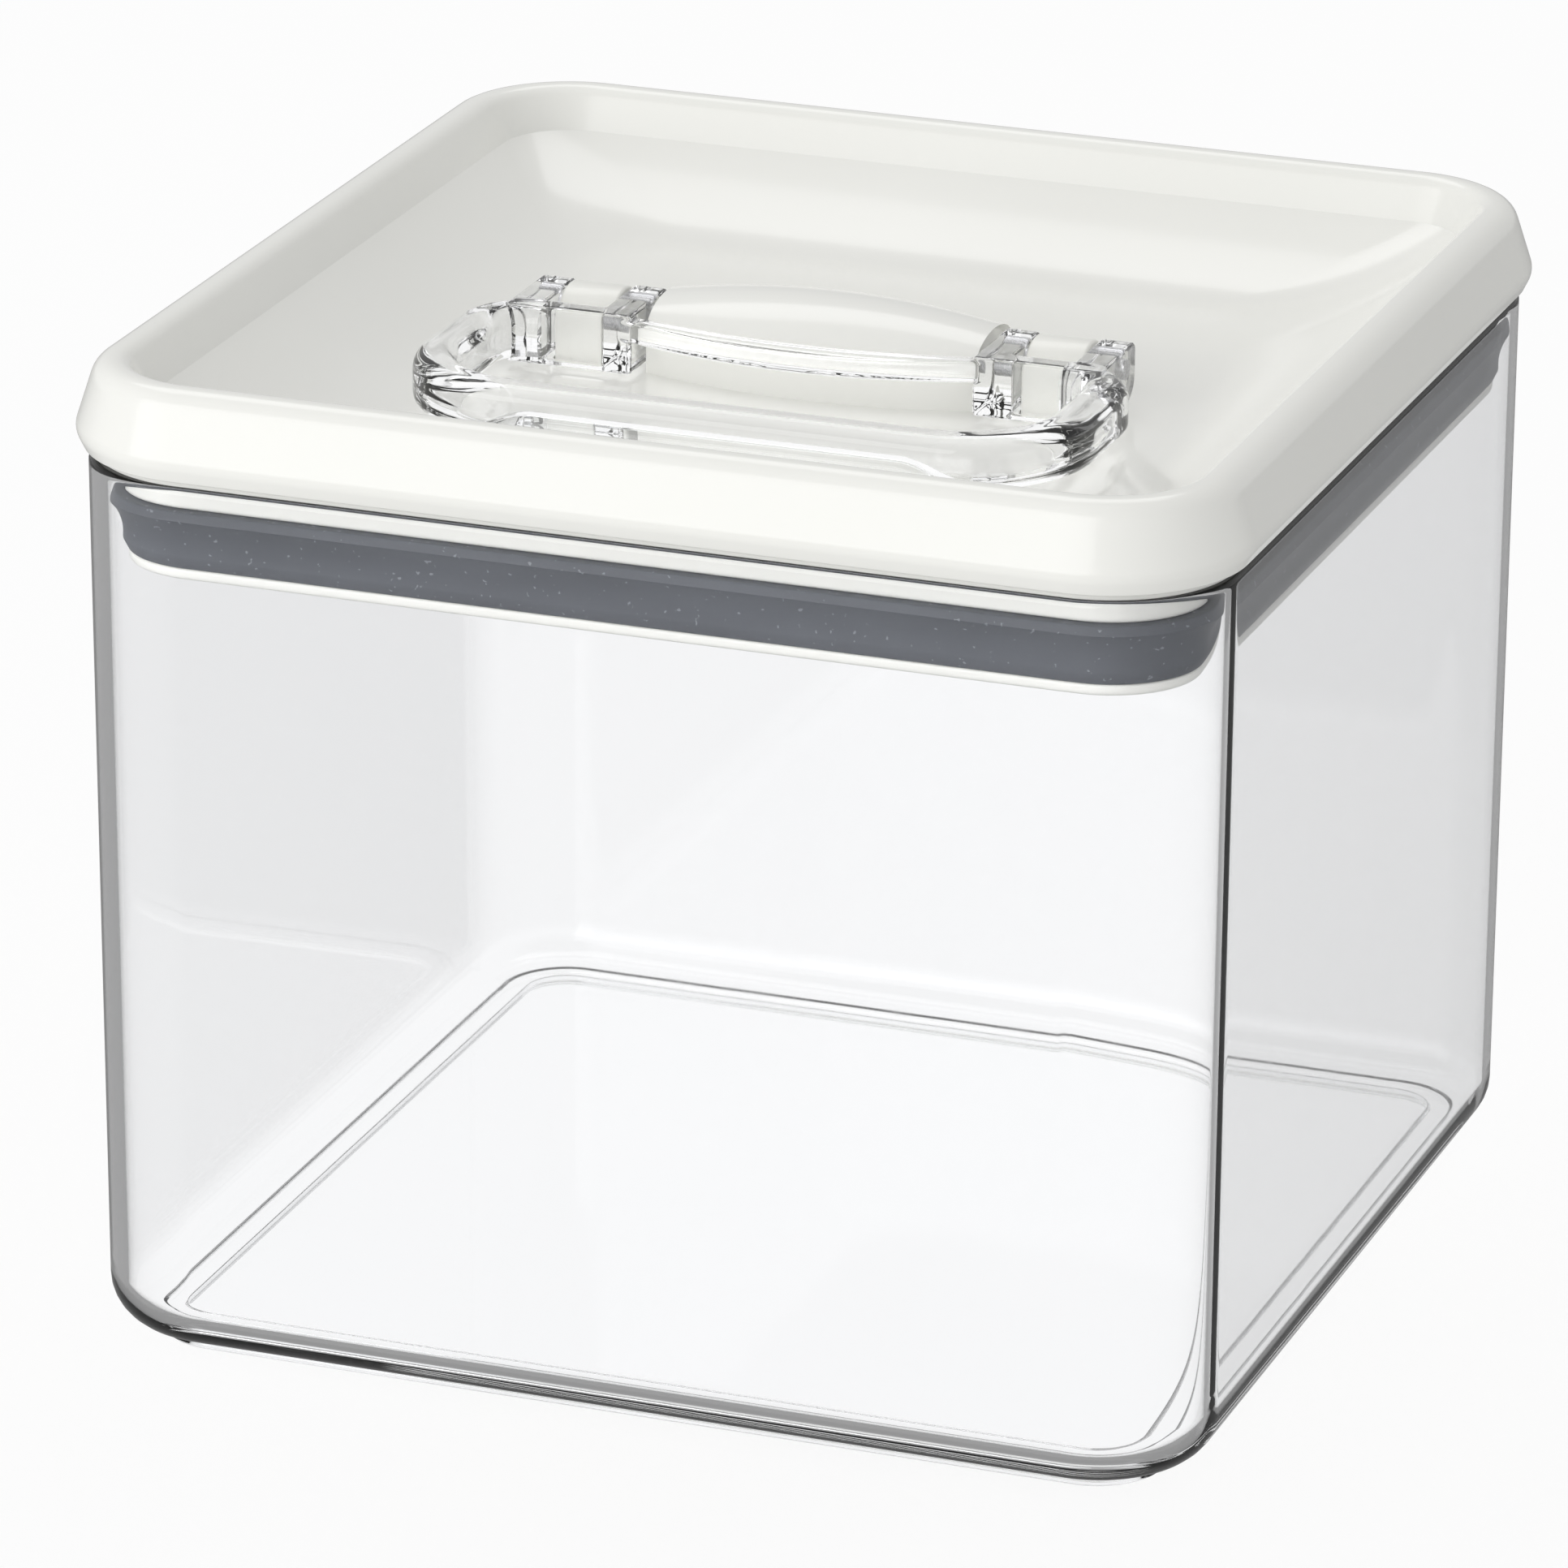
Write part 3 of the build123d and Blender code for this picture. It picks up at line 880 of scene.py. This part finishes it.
    def flat_floor(self, rings: list[np.ndarray]) -> Surface:
        """Triangles between the slope's first ring and the post holes.

        Args:
            rings: outlines of (x, y), first the floor's own, then the holes'.

        Returns:
            The floor, open at the holes.
        """
        s = SIZES
        edges, start = [], 0
        for ring in rings:
            count = len(ring)
            edges += [(start + k, start + (k + 1) % count) for k in range(count)]
            start += count
        corners = [Vector(point) for point in np.concatenate(rings)]
        found, _, triangles, *_ = delaunay_2d_cdt(corners, edges, [], 2, 1e-5)
        points = np.array([(point.x, point.y, s.dish_floor_z) for point in found])
        middles = np.array([points[list(face), :2].mean(0) for face in triangles])
        off_post = np.abs(np.column_stack([np.abs(middles[:, 0]) - s.post_x, middles[:, 1] - s.hinge_y]))
        beside = (off_post > np.array([s.post_width, s.post_depth]) / 2 + self.hole_gap).any(1)
        return Surface(points, [list(face) for face, kept in zip(triangles, beside) if kept])

    def dish(self) -> Surface:
        """Dished panel: slope and flat floor, the same again a panel lower, and walls between the two.

        Returns:
            The closed panel.
        """
        slope = self.slope()
        rows, cols = slope.shape[:2]
        holes = [self.hole(side, self.hole_gap) for side in (-1, 1)]
        top = Surface(slope.reshape(-1, 3), grid_quads(rows, cols, wrap_cols=True).tolist())
        sheet = Surface.joined([top, self.flat_floor([slope[0, :, :2], *holes])])
        down = np.array([0, 0, self.panel])
        parts = [sheet, Surface(sheet.points - down, [list(face)[::-1] for face in sheet.faces])]
        floor_z = SIZES.dish_floor_z
        edges = [slope[-1]] + [np.column_stack([hole, np.full(len(hole), floor_z)]) for hole in holes]
        for ring in edges:
            quads = grid_quads(2, len(ring), wrap_cols=True).tolist()
            parts.append(Surface(np.concatenate([ring, ring - down]), quads))
        return Surface.joined(parts)

    def mound(self) -> Surface:
        """Mound: arches along X, deepest and highest in the middle, with bevelled hollow ends.

        Each arch is half an ellipse on upright sides. Its depth, top and shoulder go from the ends' to
        the middle's by a bow of 1 - (x / half length) squared. At both ends the arch turns back inwards
        at 45 degrees.

        Returns:
            The closed mound, whose foot is sunk into the dish.
        """
        s = SIZES
        bevel = self.mound_end_bevel * (1 - np.cos(np.linspace(0, QUARTER_TURN, self.bevel_points)))
        ends = self.mound_half - bevel
        middle = np.linspace(-self.mound_half, self.mound_half, self.mound_points)[1:-1]
        xs = np.concatenate([-ends[::-1], middle, ends])
        inset = np.concatenate([bevel[::-1], np.zeros(len(middle)), bevel])
        bow = 1 - (xs / self.mound_half) ** 2
        depth = self.mound_end_depth + (self.mound_depth - self.mound_end_depth) * bow - inset
        end_top = s.hinge_z + self.mound_end_rise
        top = end_top + (s.dish_floor_z + self.mound_rise - end_top) * bow - inset
        shoulder = s.hinge_z + (s.dish_floor_z + self.mound_shoulder - s.hinge_z) * bow
        phi = np.linspace(0, math.pi, self.mound_points)
        y = s.hinge_y - depth[:, None] * np.cos(phi)
        z = shoulder[:, None] + (top - shoulder)[:, None] * np.sin(phi)
        foot_z = np.full((len(xs), 1), s.dish_floor_z - self.mound_sink)
        y = np.concatenate([y[:, :1], y, y[:, -1:]], 1)
        z = np.concatenate([foot_z, z, foot_z], 1)
        return Surface.tube(np.stack([np.broadcast_to(xs[:, None], y.shape), y, z], -1))

    def collars(self) -> Surface:
        """Guide collars under the two post holes.

        Returns:
            Two closed tubes.
        """
        high = SIZES.dish_floor_z - self.panel + OVERLAP
        low = SIZES.dish_floor_z - self.panel - self.collar
        tubes = []
        for side in (-1, 1):
            inner, outer = (self.hole(side, self.hole_gap + wall) for wall in (0, self.collar_wall))
            count = len(inner)
            levels = [(inner, high), (inner, low), (outer, low), (outer, high)]
            points = np.concatenate([np.column_stack([ring, np.full(count, z)]) for ring, z in levels])
            tubes.append(Surface(points, grid_quads(4, count, wrap_rows=True, wrap_cols=True).tolist()))
        return Surface.joined(tubes)

    def build(self, finish: bpy.types.Material) -> None:
        """Make the cover as one object.

        Args:
            finish: glossy white plastic.
        """
        whole = Surface.joined([self.rim(), self.dish(), self.mound(), self.collars()])
        dress(whole.to_object("white_lid_cover", sharp_angle=32), finish, Body.LID, "white_lid", "lid_cover")


@dataclass
class LidBase:
    """White ring under the cover: flange on the tub's rim, plug wall and guide wall."""

    flange_thickness: float = 1.8
    flange_inset: float = 1.7
    flange_edge: float = 0.3
    plug_inset: float = 2.1
    plug_wall: float = 2.1
    plug_step: float = 2.0
    plug_inner_edge: float = 0.4
    plug_outer_edge: float = 0.5
    guide_wall: float = 1.5
    guide_drop: float = 5.3
    guide_edge: float = 0.3
    step_edge: float = 0.2
    join_edge: float = 0.1

    def build(self, finish: bpy.types.Material) -> None:
        """Make the ring as one object: the flange, and the two walls joined above the seal.

        Args:
            finish: white plastic.
        """
        s = SIZES
        plug = s.tub_inner_half(s.rim_z) - self.plug_inset
        inner = s.guide_half - self.guide_wall
        step_z, guide_z = s.seal_top_z + self.plug_step, s.seal_top_z - self.guide_drop
        flange_half, flange_z = s.lid_half - self.flange_inset, s.rim_z + self.flange_thickness
        flange = [(flange_half, s.rim_z), (flange_half, flange_z), (inner, flange_z), (inner, s.rim_z)]
        walls = [
            (plug, s.rim_z + OVERLAP, self.join_edge),
            (inner, s.rim_z + OVERLAP, self.join_edge),
            (inner, guide_z, self.guide_edge),
            (s.guide_half, guide_z, self.guide_edge),
            (s.guide_half, step_z, self.step_edge),
            (plug - self.plug_wall, step_z, self.step_edge),
            (plug - self.plug_wall, s.seal_top_z, self.plug_inner_edge),
            (plug, s.seal_top_z, self.plug_outer_edge),
        ]
        ring = Surface.joined([
            swept_square(rounded_corners(flange, [self.flange_edge] * 4, steps=3), s.lid_centre),
            swept_square(rounded_rows(walls, steps=3), s.tub_centre),
        ])
        dress(ring.to_object("white_lid_ring"), finish, Body.LID, "white_lid", "lid_base")


@dataclass
class Seal:
    """Grey seal that tapers to its foot, with a hollow round its face and a bead at its foot."""

    gap: float = 0.3
    flare: float = 2.4
    thickness: float = 2.9
    hollow: float = 0.55
    bead_share: float = 0.18
    lip_share: float = 0.14
    shoulder_share: float = 0.3
    foot_round: float = 0.5
    lip_round: float = 0.4
    face_points: int = 13

    def profile(self) -> np.ndarray:
        """Section with a hollow face: between bead and lip it sinks by 4t(1 - t) of the hollow.

        Returns:
            Closed rows of (distance outwards, height).
        """
        s = SIZES
        lip = s.tub_inner_half(s.seal_top_z) - self.gap
        foot = lip - self.flare
        inner = foot - self.thickness
        shoulder = foot + self.shoulder_share * self.flare
        height = s.seal_top_z - s.seal_foot_z
        low_z, high_z = s.seal_foot_z + self.bead_share * height, s.seal_top_z - self.lip_share * height
        t = np.linspace(0, 1, self.face_points)
        face_u = shoulder + (lip - shoulder) * t - self.hollow * 4 * t * (1 - t)
        face = np.stack([face_u, low_z + (high_z - low_z) * t], 1)
        low = [(inner, s.seal_foot_z, 0), (foot, s.seal_foot_z, self.foot_round), (shoulder, low_z, 0)]
        high = [(lip, high_z, 0), (lip - self.hollow, s.seal_top_z, self.lip_round), (inner, s.seal_top_z, 0)]
        return np.concatenate([rounded_rows(low, steps=4, closed=False)[:-1], face,
                               rounded_rows(high, steps=4, closed=False)[1:]])

    def build(self, finish: bpy.types.Material) -> None:
        """Make the seal, with its top at the lid's plug and its foot on the plate.

        Args:
            finish: grey silicone.
        """
        piece = swept_square(self.profile(), SIZES.tub_centre, corner_steps=28).to_object("grey_seal_ring")
        piece.data.materials.append(finish)
        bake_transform(piece)
        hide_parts("seal_ring")
        log.info("%s: %d faces, between lid and plunger", piece.name, len(piece.data.polygons))


@dataclass
class Plunger:
    """White plate under the seal, with ribs and sockets, and the two pull posts."""

    thickness: float = 1.7
    inset: float = 2.7
    low_edge: float = 0.8
    high_edge: float = 0.5
    core_half: float = 66.0
    rib: float = 1.5
    rib_height: float = 1.7
    rib_edge: float = 0.3
    stiffener: float = 1.4
    stiffener_height: float = 3.0
    cross_end_edge: float = 0.1
    long_end_edge: float = 0.25
    socket_wall: float = 2.2
    socket_height: float = 5.5
    socket_edge: float = 0.4
    post_rise: float = 3.6
    post_arch_drop: float = 1.0
    post_arch_power: float = 0.8
    post_lift: float = 0.3
    post_edge: float = 0.5
    post_arch_points: int = 25

    def rim(self) -> list[Surface]:
        """Plate with a rounded edge, and the rib under the guide wall.

        Returns:
            Two closed surfaces.
        """
        s = SIZES
        top, low = s.seal_foot_z, s.seal_foot_z - self.thickness
        half = s.tub_inner_half(top) - self.inset
        plate = [(self.core_half, low, 0), (half, low, self.low_edge), (half, top, self.high_edge),
                 (self.core_half, top, 0)]
        inner, crest = s.guide_half - self.rib, top + self.rib_height
        rib = [(s.guide_half, top - OVERLAP, 0), (s.guide_half, crest, self.rib_edge),
               (inner, crest, self.rib_edge), (inner, top - OVERLAP, 0)]
        return [swept_square(rounded_rows(plate, steps=5, closed=False), s.tub_centre, closed=False),
                swept_square(rounded_rows(rib, steps=3), s.tub_centre)]

    def plate(self) -> Surface:
        """Plate and rib, one stiffener along X, two along Y and the sockets round the posts.

        Returns:
            All of them as one surface.
        """
        s = SIZES
        foot, top = s.seal_foot_z - OVERLAP, s.seal_foot_z + self.stiffener_height
        reach, half = s.guide_half - self.rib, self.stiffener / 2
        across = rectangle((s.hinge_y - half, foot), (s.hinge_y + half, top))
        across = rounded_corners(across, [0, 0, self.rib_edge, self.rib_edge], steps=3)
        parts = [*self.rim(), rounded_prism(across, -reach, reach, self.cross_end_edge)]
        lengthwise = rectangle((-reach, foot), (reach, top))
        socket_x = s.post_width / 2 + self.socket_wall
        socket_y = s.post_depth / 2 + self.socket_wall
        socket = rectangle((s.hinge_y - socket_y, foot),
                           (s.hinge_y + socket_y, s.seal_foot_z + self.socket_height))
        for x in (-s.post_x, s.post_x):
            parts.append(rounded_prism(lengthwise, x - half, x + half, self.long_end_edge))
            parts.append(rounded_prism(socket, x - socket_x, x + socket_x, self.socket_edge))
        return Surface.joined(parts)

    def post(self, x: float) -> Surface:
        """Pull post: flat sides and an arched top, which rises as a power of the sine, with soft edges.

        Args:
            x: place of its middle.

        Returns:
            The closed post.
        """
        s = SIZES
        depth = s.post_depth / 2
        phi = np.linspace(0, math.pi, self.post_arch_points)
        spring_z = s.hinge_z - self.post_arch_drop
        arch_z = spring_z + (self.post_rise + self.post_arch_drop) * np.sin(phi) ** self.post_arch_power
        arch = np.stack([s.hinge_y + depth * np.cos(phi), arch_z], 1)
        foot_z = s.seal_foot_z + self.post_lift
        outline = np.concatenate([arch, [(s.hinge_y - depth, foot_z), (s.hinge_y + depth, foot_z)]])
        return rounded_prism(outline, x - s.post_width / 2, x + s.post_width / 2, self.post_edge)

    def build(self, finish: bpy.types.Material, post_finish: bpy.types.Material,
              steel: bpy.types.Material) -> None:
        """Make the plate and the posts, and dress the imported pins.

        Args:
            finish: white plastic of the plate.
            post_finish: white plastic of the posts.
            steel: steel of the pins.
        """
        dress(self.plate().to_object("white_inner_plate"), finish, Body.PLUNGER, "white_lid", "inner_plate")
        for side, x in (("left", -SIZES.post_x), ("right", SIZES.post_x)):
            post = self.post(x).to_object("white_post_" + side)
            dress(post, post_finish, Body.PLUNGER, "white_post", "pull_post_" + side)
            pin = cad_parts["hinge_pin_" + side]
            for material_slot in pin.material_slots:
                material_slot.material = steel
            log.info("%s: packed pin, in steel", pin.name)


@dataclass
class Handle:
    """Clear handle: loop with a grooved grip, and the hinge block of walls, ears and bridge."""

    loop_half: float = 49.8
    loop_front_y: float = -46.0
    front_corner: float = 19.0
    back_corner: float = 10.5
    loop_overlap: float = 0.4
    loop_stations: int = 520
    grip_depth: float = 6.7
    grip_height: float = 7.5
    grip_top_round: float = 2.7
    grip_foot_round: float = 1.6
    grip_points: int = 72
    wall_front_y: float = -9.4
    wall_thickness: float = 3.5
    wall_edge: float = 0.5
    cam_foot: float = 5.4
    cam_lift: float = 2.0
    cam_points: int = 17
    ear_crown: float = 1.1
    ear_overlap: float = 1.5
    ear_edge: float = 0.45
    groove_width: float = 3.6
    groove_depth: float = 3.6
    groove_half: float = 39.0
    groove_fade: float = 12.0
    groove_slope: float = 0.7
    groove_band: float = 0.5
    groove_notch: float = 0.001
    bridge_height: float = 3.0
    bridge_depth: float = 3.0
    bridge_drop: float = 0.7
    bridge_bow: float = 5.5
    bridge_back_bow: float = 3.6
    bridge_edge: float = 0.3
    bridge_stations: int = 60
    voxel: float = 0.22

    @property
    def wall_back_y(self) -> float:
        """Back of the cross walls."""
        return self.wall_front_y + self.wall_thickness

    def loop_path(self) -> np.ndarray:
        """Middle line of the loop, from the left end of the cross wall round to the right end.

        Returns:
            Evenly spaced rows of (x, y).
        """
        inset = self.grip_depth / 2
        half = self.loop_half - inset
        front = self.loop_front_y + inset
        back = self.wall_front_y + self.wall_thickness / 2
        front_round, back_round = self.front_corner - inset, self.back_corner - inset
        end = half - back_round - self.loop_overlap
        rows = [
            (-end, back, 0),
            (-half, back, back_round),
            (-half, front, front_round),
            (half, front, front_round),
            (half, back, back_round),
            (end, back, 0),
        ]
        return evenly_spaced(rounded_rows(rows, steps=40, closed=False), self.loop_stations)

    def loop(self) -> Surface:
        """Loop: rounded section with a groove that rises into it under the grip.

        The points low on the section are lifted by the groove's depth, times an ease across the groove,
        times an ease that fades out towards both ends of the grip.

        Returns:
            The closed loop.
        """
        path = self.loop_path()
        w, h = self.grip_depth / 2, self.grip_height / 2
        groove = self.groove_width / 2
        notch = self.groove_notch - h
        outline = rounded_rows([
            (w, -h, self.grip_foot_round),
            (w, h, self.grip_top_round),
            (-w, h, self.grip_top_round),
            (-w, -h, self.grip_foot_round),
            (-groove, -h, 0),
            (-groove, notch, 0),
            (groove, notch, 0),
            (groove, -h, 0),
        ], steps=9)
        base = evenly_spaced(np.concatenate([outline, outline[:1]]), self.grip_points, endpoint=False)
        near_foot = base[:, 1] < self.groove_band - h
        in_groove = smooth_step((groove - np.abs(base[:, 0])) / self.groove_slope + 0.5) * near_foot

        def section(distance: np.ndarray) -> np.ndarray:
            """Section at each distance, with the groove's depth faded away from the middle.

            Args:
                distance: distances along the path.

            Returns:
                Rows of (left, up) for each distance.
            """
            from_middle = np.abs(distance - distance[-1] / 2)
            fade = smooth_step((self.groove_half - from_middle) / self.groove_fade)
            shape = np.broadcast_to(base, (len(distance),) + base.shape).copy()
            shape[:, :, 1] += self.groove_depth * fade[:, None] * in_groove
            return shape

        return carried_section(path, section, SIZES.handle_top_z - h)

    def ear_outline(self) -> np.ndarray:
        """Side view of an ear: flat foot, cam corner, flat back, level top.

        The cam is the envelope of a foot line whose reach falls evenly with the angle: reach times the
        line's normal, less the rate of fall along the line.

        Returns:
            Closed rows of (y, z).
        """
        s = SIZES
        angle = np.linspace(0, QUARTER_TURN, self.cam_points)
        rate = self.cam_lift / QUARTER_TURN
        reach = self.cam_foot - rate * angle
        cam = np.stack([s.hinge_y + reach * np.sin(angle) - rate * np.cos(angle),
                        s.hinge_z - reach * np.cos(angle) - rate * np.sin(angle)], 1)
        back, front = cam[-1, 0], self.wall_back_y - self.ear_overlap
        crown = [(back, cam[-1, 1], 0), (back, s.handle_top_z, self.ear_crown), (front, s.handle_top_z, 0)]
        return np.concatenate([cam, rounded_rows(crown, steps=5, closed=False)[1:], [(front, cam[0, 1])]])

    def bridge(self, half_length: float) -> Surface:
        """Bowed bar between the inner ears: front and back bow by 1 - (x / half length) squared.

        Args:
            half_length: half its length along X.

        Returns:
            The closed bar.
        """
        x = np.linspace(-half_length, half_length, self.bridge_stations)
        bow = 1 - (x / half_length) ** 2
        front = self.wall_front_y - self.bridge_bow * bow
        rear = self.wall_front_y + self.bridge_depth - self.bridge_back_bow * bow
        unit = rounded_corners(rectangle((-1, -1), (1, 1)), [self.bridge_edge] * 4, steps=5)

        def section(distance: np.ndarray) -> np.ndarray:
            """Bar section that widens with the bow.

            Args:
                distance: distances along the path.

            Returns:
                Rows of (left, up) for each distance.
            """
            shape = np.broadcast_to(unit, (len(distance),) + unit.shape).copy()
            shape[:, :, 0] *= (rear - front)[:, None] / 2
            shape[:, :, 1] *= self.bridge_height / 2
            return shape

        middle_z = SIZES.handle_top_z - self.bridge_drop - self.bridge_height / 2
        return carried_section(np.stack([x, (front + rear) / 2], 1), section, middle_z)

    def hinge_block(self) -> Surface:
        """Cross walls, ears and bridge as overlapping closed solids, which a remesh joins.

        Returns:
            All of them as one surface.
        """
        s = SIZES
        inner = s.post_x - s.post_width / 2 - s.ear_gap
        outer = s.post_x + s.post_width / 2 + s.ear_gap
        start, end = inner - s.ear_width, outer + s.ear_width
        wall = rectangle((self.wall_front_y, s.hinge_z - self.cam_foot), (self.wall_back_y, s.handle_top_z))
        side = Surface.joined([
            rounded_prism(rounded_corners(wall, [self.wall_edge] * 4, steps=4), start, end, self.wall_edge),
            rounded_prism(self.ear_outline(), start, inner, self.ear_edge),
            rounded_prism(self.ear_outline(), outer, end, self.ear_edge),
        ])
        return Surface.joined([side, side.mirrored(), self.bridge(start + self.ear_overlap)])

    def hinge(self) -> bpy.types.Object:
        """Hinge block joined by a voxel remesh, then smoothed.

        Returns:
            The new object, at the origin.
        """
        block = self.hinge_block().to_object("hinge_block", sharp_angle=60)
        remesh = block.modifiers.new("join", "REMESH")
        remesh.mode = "VOXEL"
        remesh.voxel_size = self.voxel * MM
        soften = block.modifiers.new("soften", "SMOOTH")
        soften.factor = 0.5
        soften.iterations = 4
        graph = bpy.context.evaluated_depsgraph_get()
        joined = bpy.data.meshes.new_from_object(block.evaluated_get(graph))
        bpy.data.objects.remove(block)
        joined.shade_smooth()
        piece = bpy.data.objects.new("clear_handle_hinge", joined)
        bpy.context.collection.objects.link(piece)
        return piece

    def build(self, finish: bpy.types.Material) -> None:
        """Make the loop and the hinge, which cast no shadow, so that light reaches the mound.

        Args:
            finish: clear plastic.
        """
        for piece in (self.loop().to_object("clear_handle_loop"), self.hinge()):
            dress(piece, finish, Body.HANDLE, "clear_handle", "flip_handle")
            piece.visible_shadow = False


@dataclass(frozen=True)
class PhotoCamera:
    """Camera of the photograph, fitted to the outlines in the 1932 pixel frame."""

    frame_px: float = 1932.0
    focal_px: float = 11940.0
    azimuth: float = 20.29
    elevation: float = 20.28
    roll: float = 0.26
    right_mm: float = -4.887
    up_mm: float = 63.76
    distance_mm: float = 1411.7
    sensor_mm: float = 36.0
    clip_end: float = 50.0

    def build(self) -> None:
        """Place the camera: its axes are right, up and back, turned by the roll."""
        az, el, roll = (math.radians(v) for v in (self.azimuth, self.elevation, self.roll))
        back = np.array([math.sin(az) * math.cos(el), -math.cos(az) * math.cos(el), math.sin(el)])
        right = np.array([math.cos(az), math.sin(az), 0.0])
        up = np.cross(back, right)
        right_r = math.cos(roll) * right + math.sin(roll) * up
        up_r = -math.sin(roll) * right + math.cos(roll) * up
        where = (right_r * self.right_mm + up_r * self.up_mm + back * self.distance_mm) * MM
        data = bpy.data.cameras.new("photo_camera")
        data.sensor_fit = "HORIZONTAL"
        data.sensor_width = self.sensor_mm
        data.lens = self.sensor_mm * self.focal_px / self.frame_px
        data.clip_end = self.clip_end
        camera = bpy.data.objects.new("photo_camera", data)
        matrix = Matrix.Identity(4)
        for column, axis in enumerate((right_r, up_r, back, where)):
            for row in range(3):
                matrix[row][column] = float(axis[row])
        camera.matrix_world = matrix
        bpy.context.collection.objects.link(camera)
        bpy.context.scene.camera = camera


@dataclass(frozen=True)
class Studio:
    """White floor, white surroundings and two soft lamps, in metres and watts."""

    floor_half: float = 6.0
    floor_z: float = -0.0002
    floor_colour: tuple[float, float, float, float] = (0.9, 0.9, 0.9, 1)
    floor_camera: float = 0.9
    floor_through: float = 1.0
    floor_mirror: float = 0.32
    floor_inner: float = 0.8
    world_level: float = 0.62

    def floor(self) -> None:
        """White floor that keeps a soft shadow.

        To the camera it is nine tenths plain white and one tenth lit, and through clear plastic it is
        plain white. Mirrored once it is toned down, and mirrored more than once, as inside a wall, it is
        toned down less.
        """
        mesh = bpy.data.meshes.new("studio_floor")
        h = self.floor_half
        corners = [(x, y, self.floor_z) for x, y in rectangle((-h, -h), (h, h)).tolist()]
        mesh.from_pydata(corners, [], [(0, 1, 2, 3)])
        floor = bpy.data.objects.new("studio_floor", mesh)
        bpy.context.collection.objects.link(floor)
        g = MaterialGraph("floor_white")
        g.set(Base_Color=self.floor_colour, Roughness=0.9)
        seen = g.light_path("Is Camera Ray") * self.floor_camera
        seen = seen + g.light_path("Is Transmission Ray") * self.floor_through
        lit = Term(g, g.shader.outputs["BSDF"])
        white, toned, inner = (g.node("ShaderNodeEmission", "Emission", {"Strength": strength})
                               for strength in (1.0, self.floor_mirror, self.floor_inner))
        mirrored = g.light_path("Glossy Depth")
        reflection = g.mix_shaders(mirrored.over(edge=1.0, width=1.0), toned, inner)
        direct = g.mix_shaders(seen, lit, white)
        whole = g.mix_shaders(mirrored.over(edge=0.0, width=1.0), direct, reflection)
        g.feed(g.tree.nodes["Material Output"].inputs["Surface"], whole)
        mesh.materials.append(g.material)

    def world(self) -> None:
        """World: white to the camera and through clear plastic, a softer grey as light and in mirrors."""
        world = bpy.data.worlds.new("studio_world")
        bpy.context.scene.world = world
        world.use_nodes = True
        g = Graph(world.node_tree)
        seen = g.light_path("Is Camera Ray") + g.light_path("Is Transmission Ray")
        light, white = (g.node("ShaderNodeBackground", "Background", {"Color": WHITE, "Strength": strength})
                        for strength in (self.world_level, 1.0))
        g.feed(g.tree.nodes["World Output"].inputs["Surface"], g.mix_shaders(seen, light, white))

    def lamp(self, name: str, where: tuple[float, float, float], target: tuple[float, float, float],
             size: tuple[float, float], power: float) -> None:
        """Rectangular soft lamp that faces a target.

        Args:
            name: lamp's name.
            where: place in metres.
            target: point that it faces, in metres.
            size: width and height in metres.
            power: watts.
        """
        data = bpy.data.lights.new(name, "AREA")
        data.shape = "RECTANGLE"
        data.size, data.size_y = size
        data.energy = power
        lamp = bpy.data.objects.new(name, data)
        lamp.location = where
        lamp.rotation_euler = (Vector(target) - Vector(where)).to_track_quat("-Z", "Y").to_euler()
        bpy.context.collection.objects.link(lamp)

    def build(self) -> None:
        """Set up floor, world and lamps."""
        self.floor()
        self.world()
        self.lamp("key_front_left", where=(-0.8, -1.9, 0.75), target=(0, 0, 0.1), size=(2.6, 1.8), power=24)
        self.lamp("back_soft", where=(-0.42, 0.72, 1.45), target=(0, 0, 0.14), size=(1.2, 0.7), power=4.2)
        bpy.context.scene.view_settings.view_transform = "Standard"


def main() -> None:
    """Build every piece in order, then the camera and the studio."""
    logging.basicConfig(level=logging.INFO, format="%(name)s %(message)s")
    white = WhitePlastic("white_gloss_lid").material()
    inner_white = WhitePlastic("white_inner", roughness=0.3, waviness=0.03).material()
    post_white = WhitePlastic("white_satin_post", colour=(0.88, 0.88, 0.84), shade=(0.85, 0.85, 0.8),
                              roughness=0.28).material()
    clear_tub = ClearPlastic("clear_tub_plastic").material()
    clear_handle = ClearPlastic("clear_handle_plastic", waviness=0.0, roughness=0.01, ior=1.49).material()
    Tub().build(clear_tub)
    LidBase().build(inner_white)
    Seal().build(Silicone("slate_silicone").material())
    LidCover().build(white)
    Plunger().build(inner_white, post_white, Steel("turned_steel").material())
    Handle().build(clear_handle)
    PhotoCamera().build()
    Studio().build()


if __name__ == "__main__":
    main()
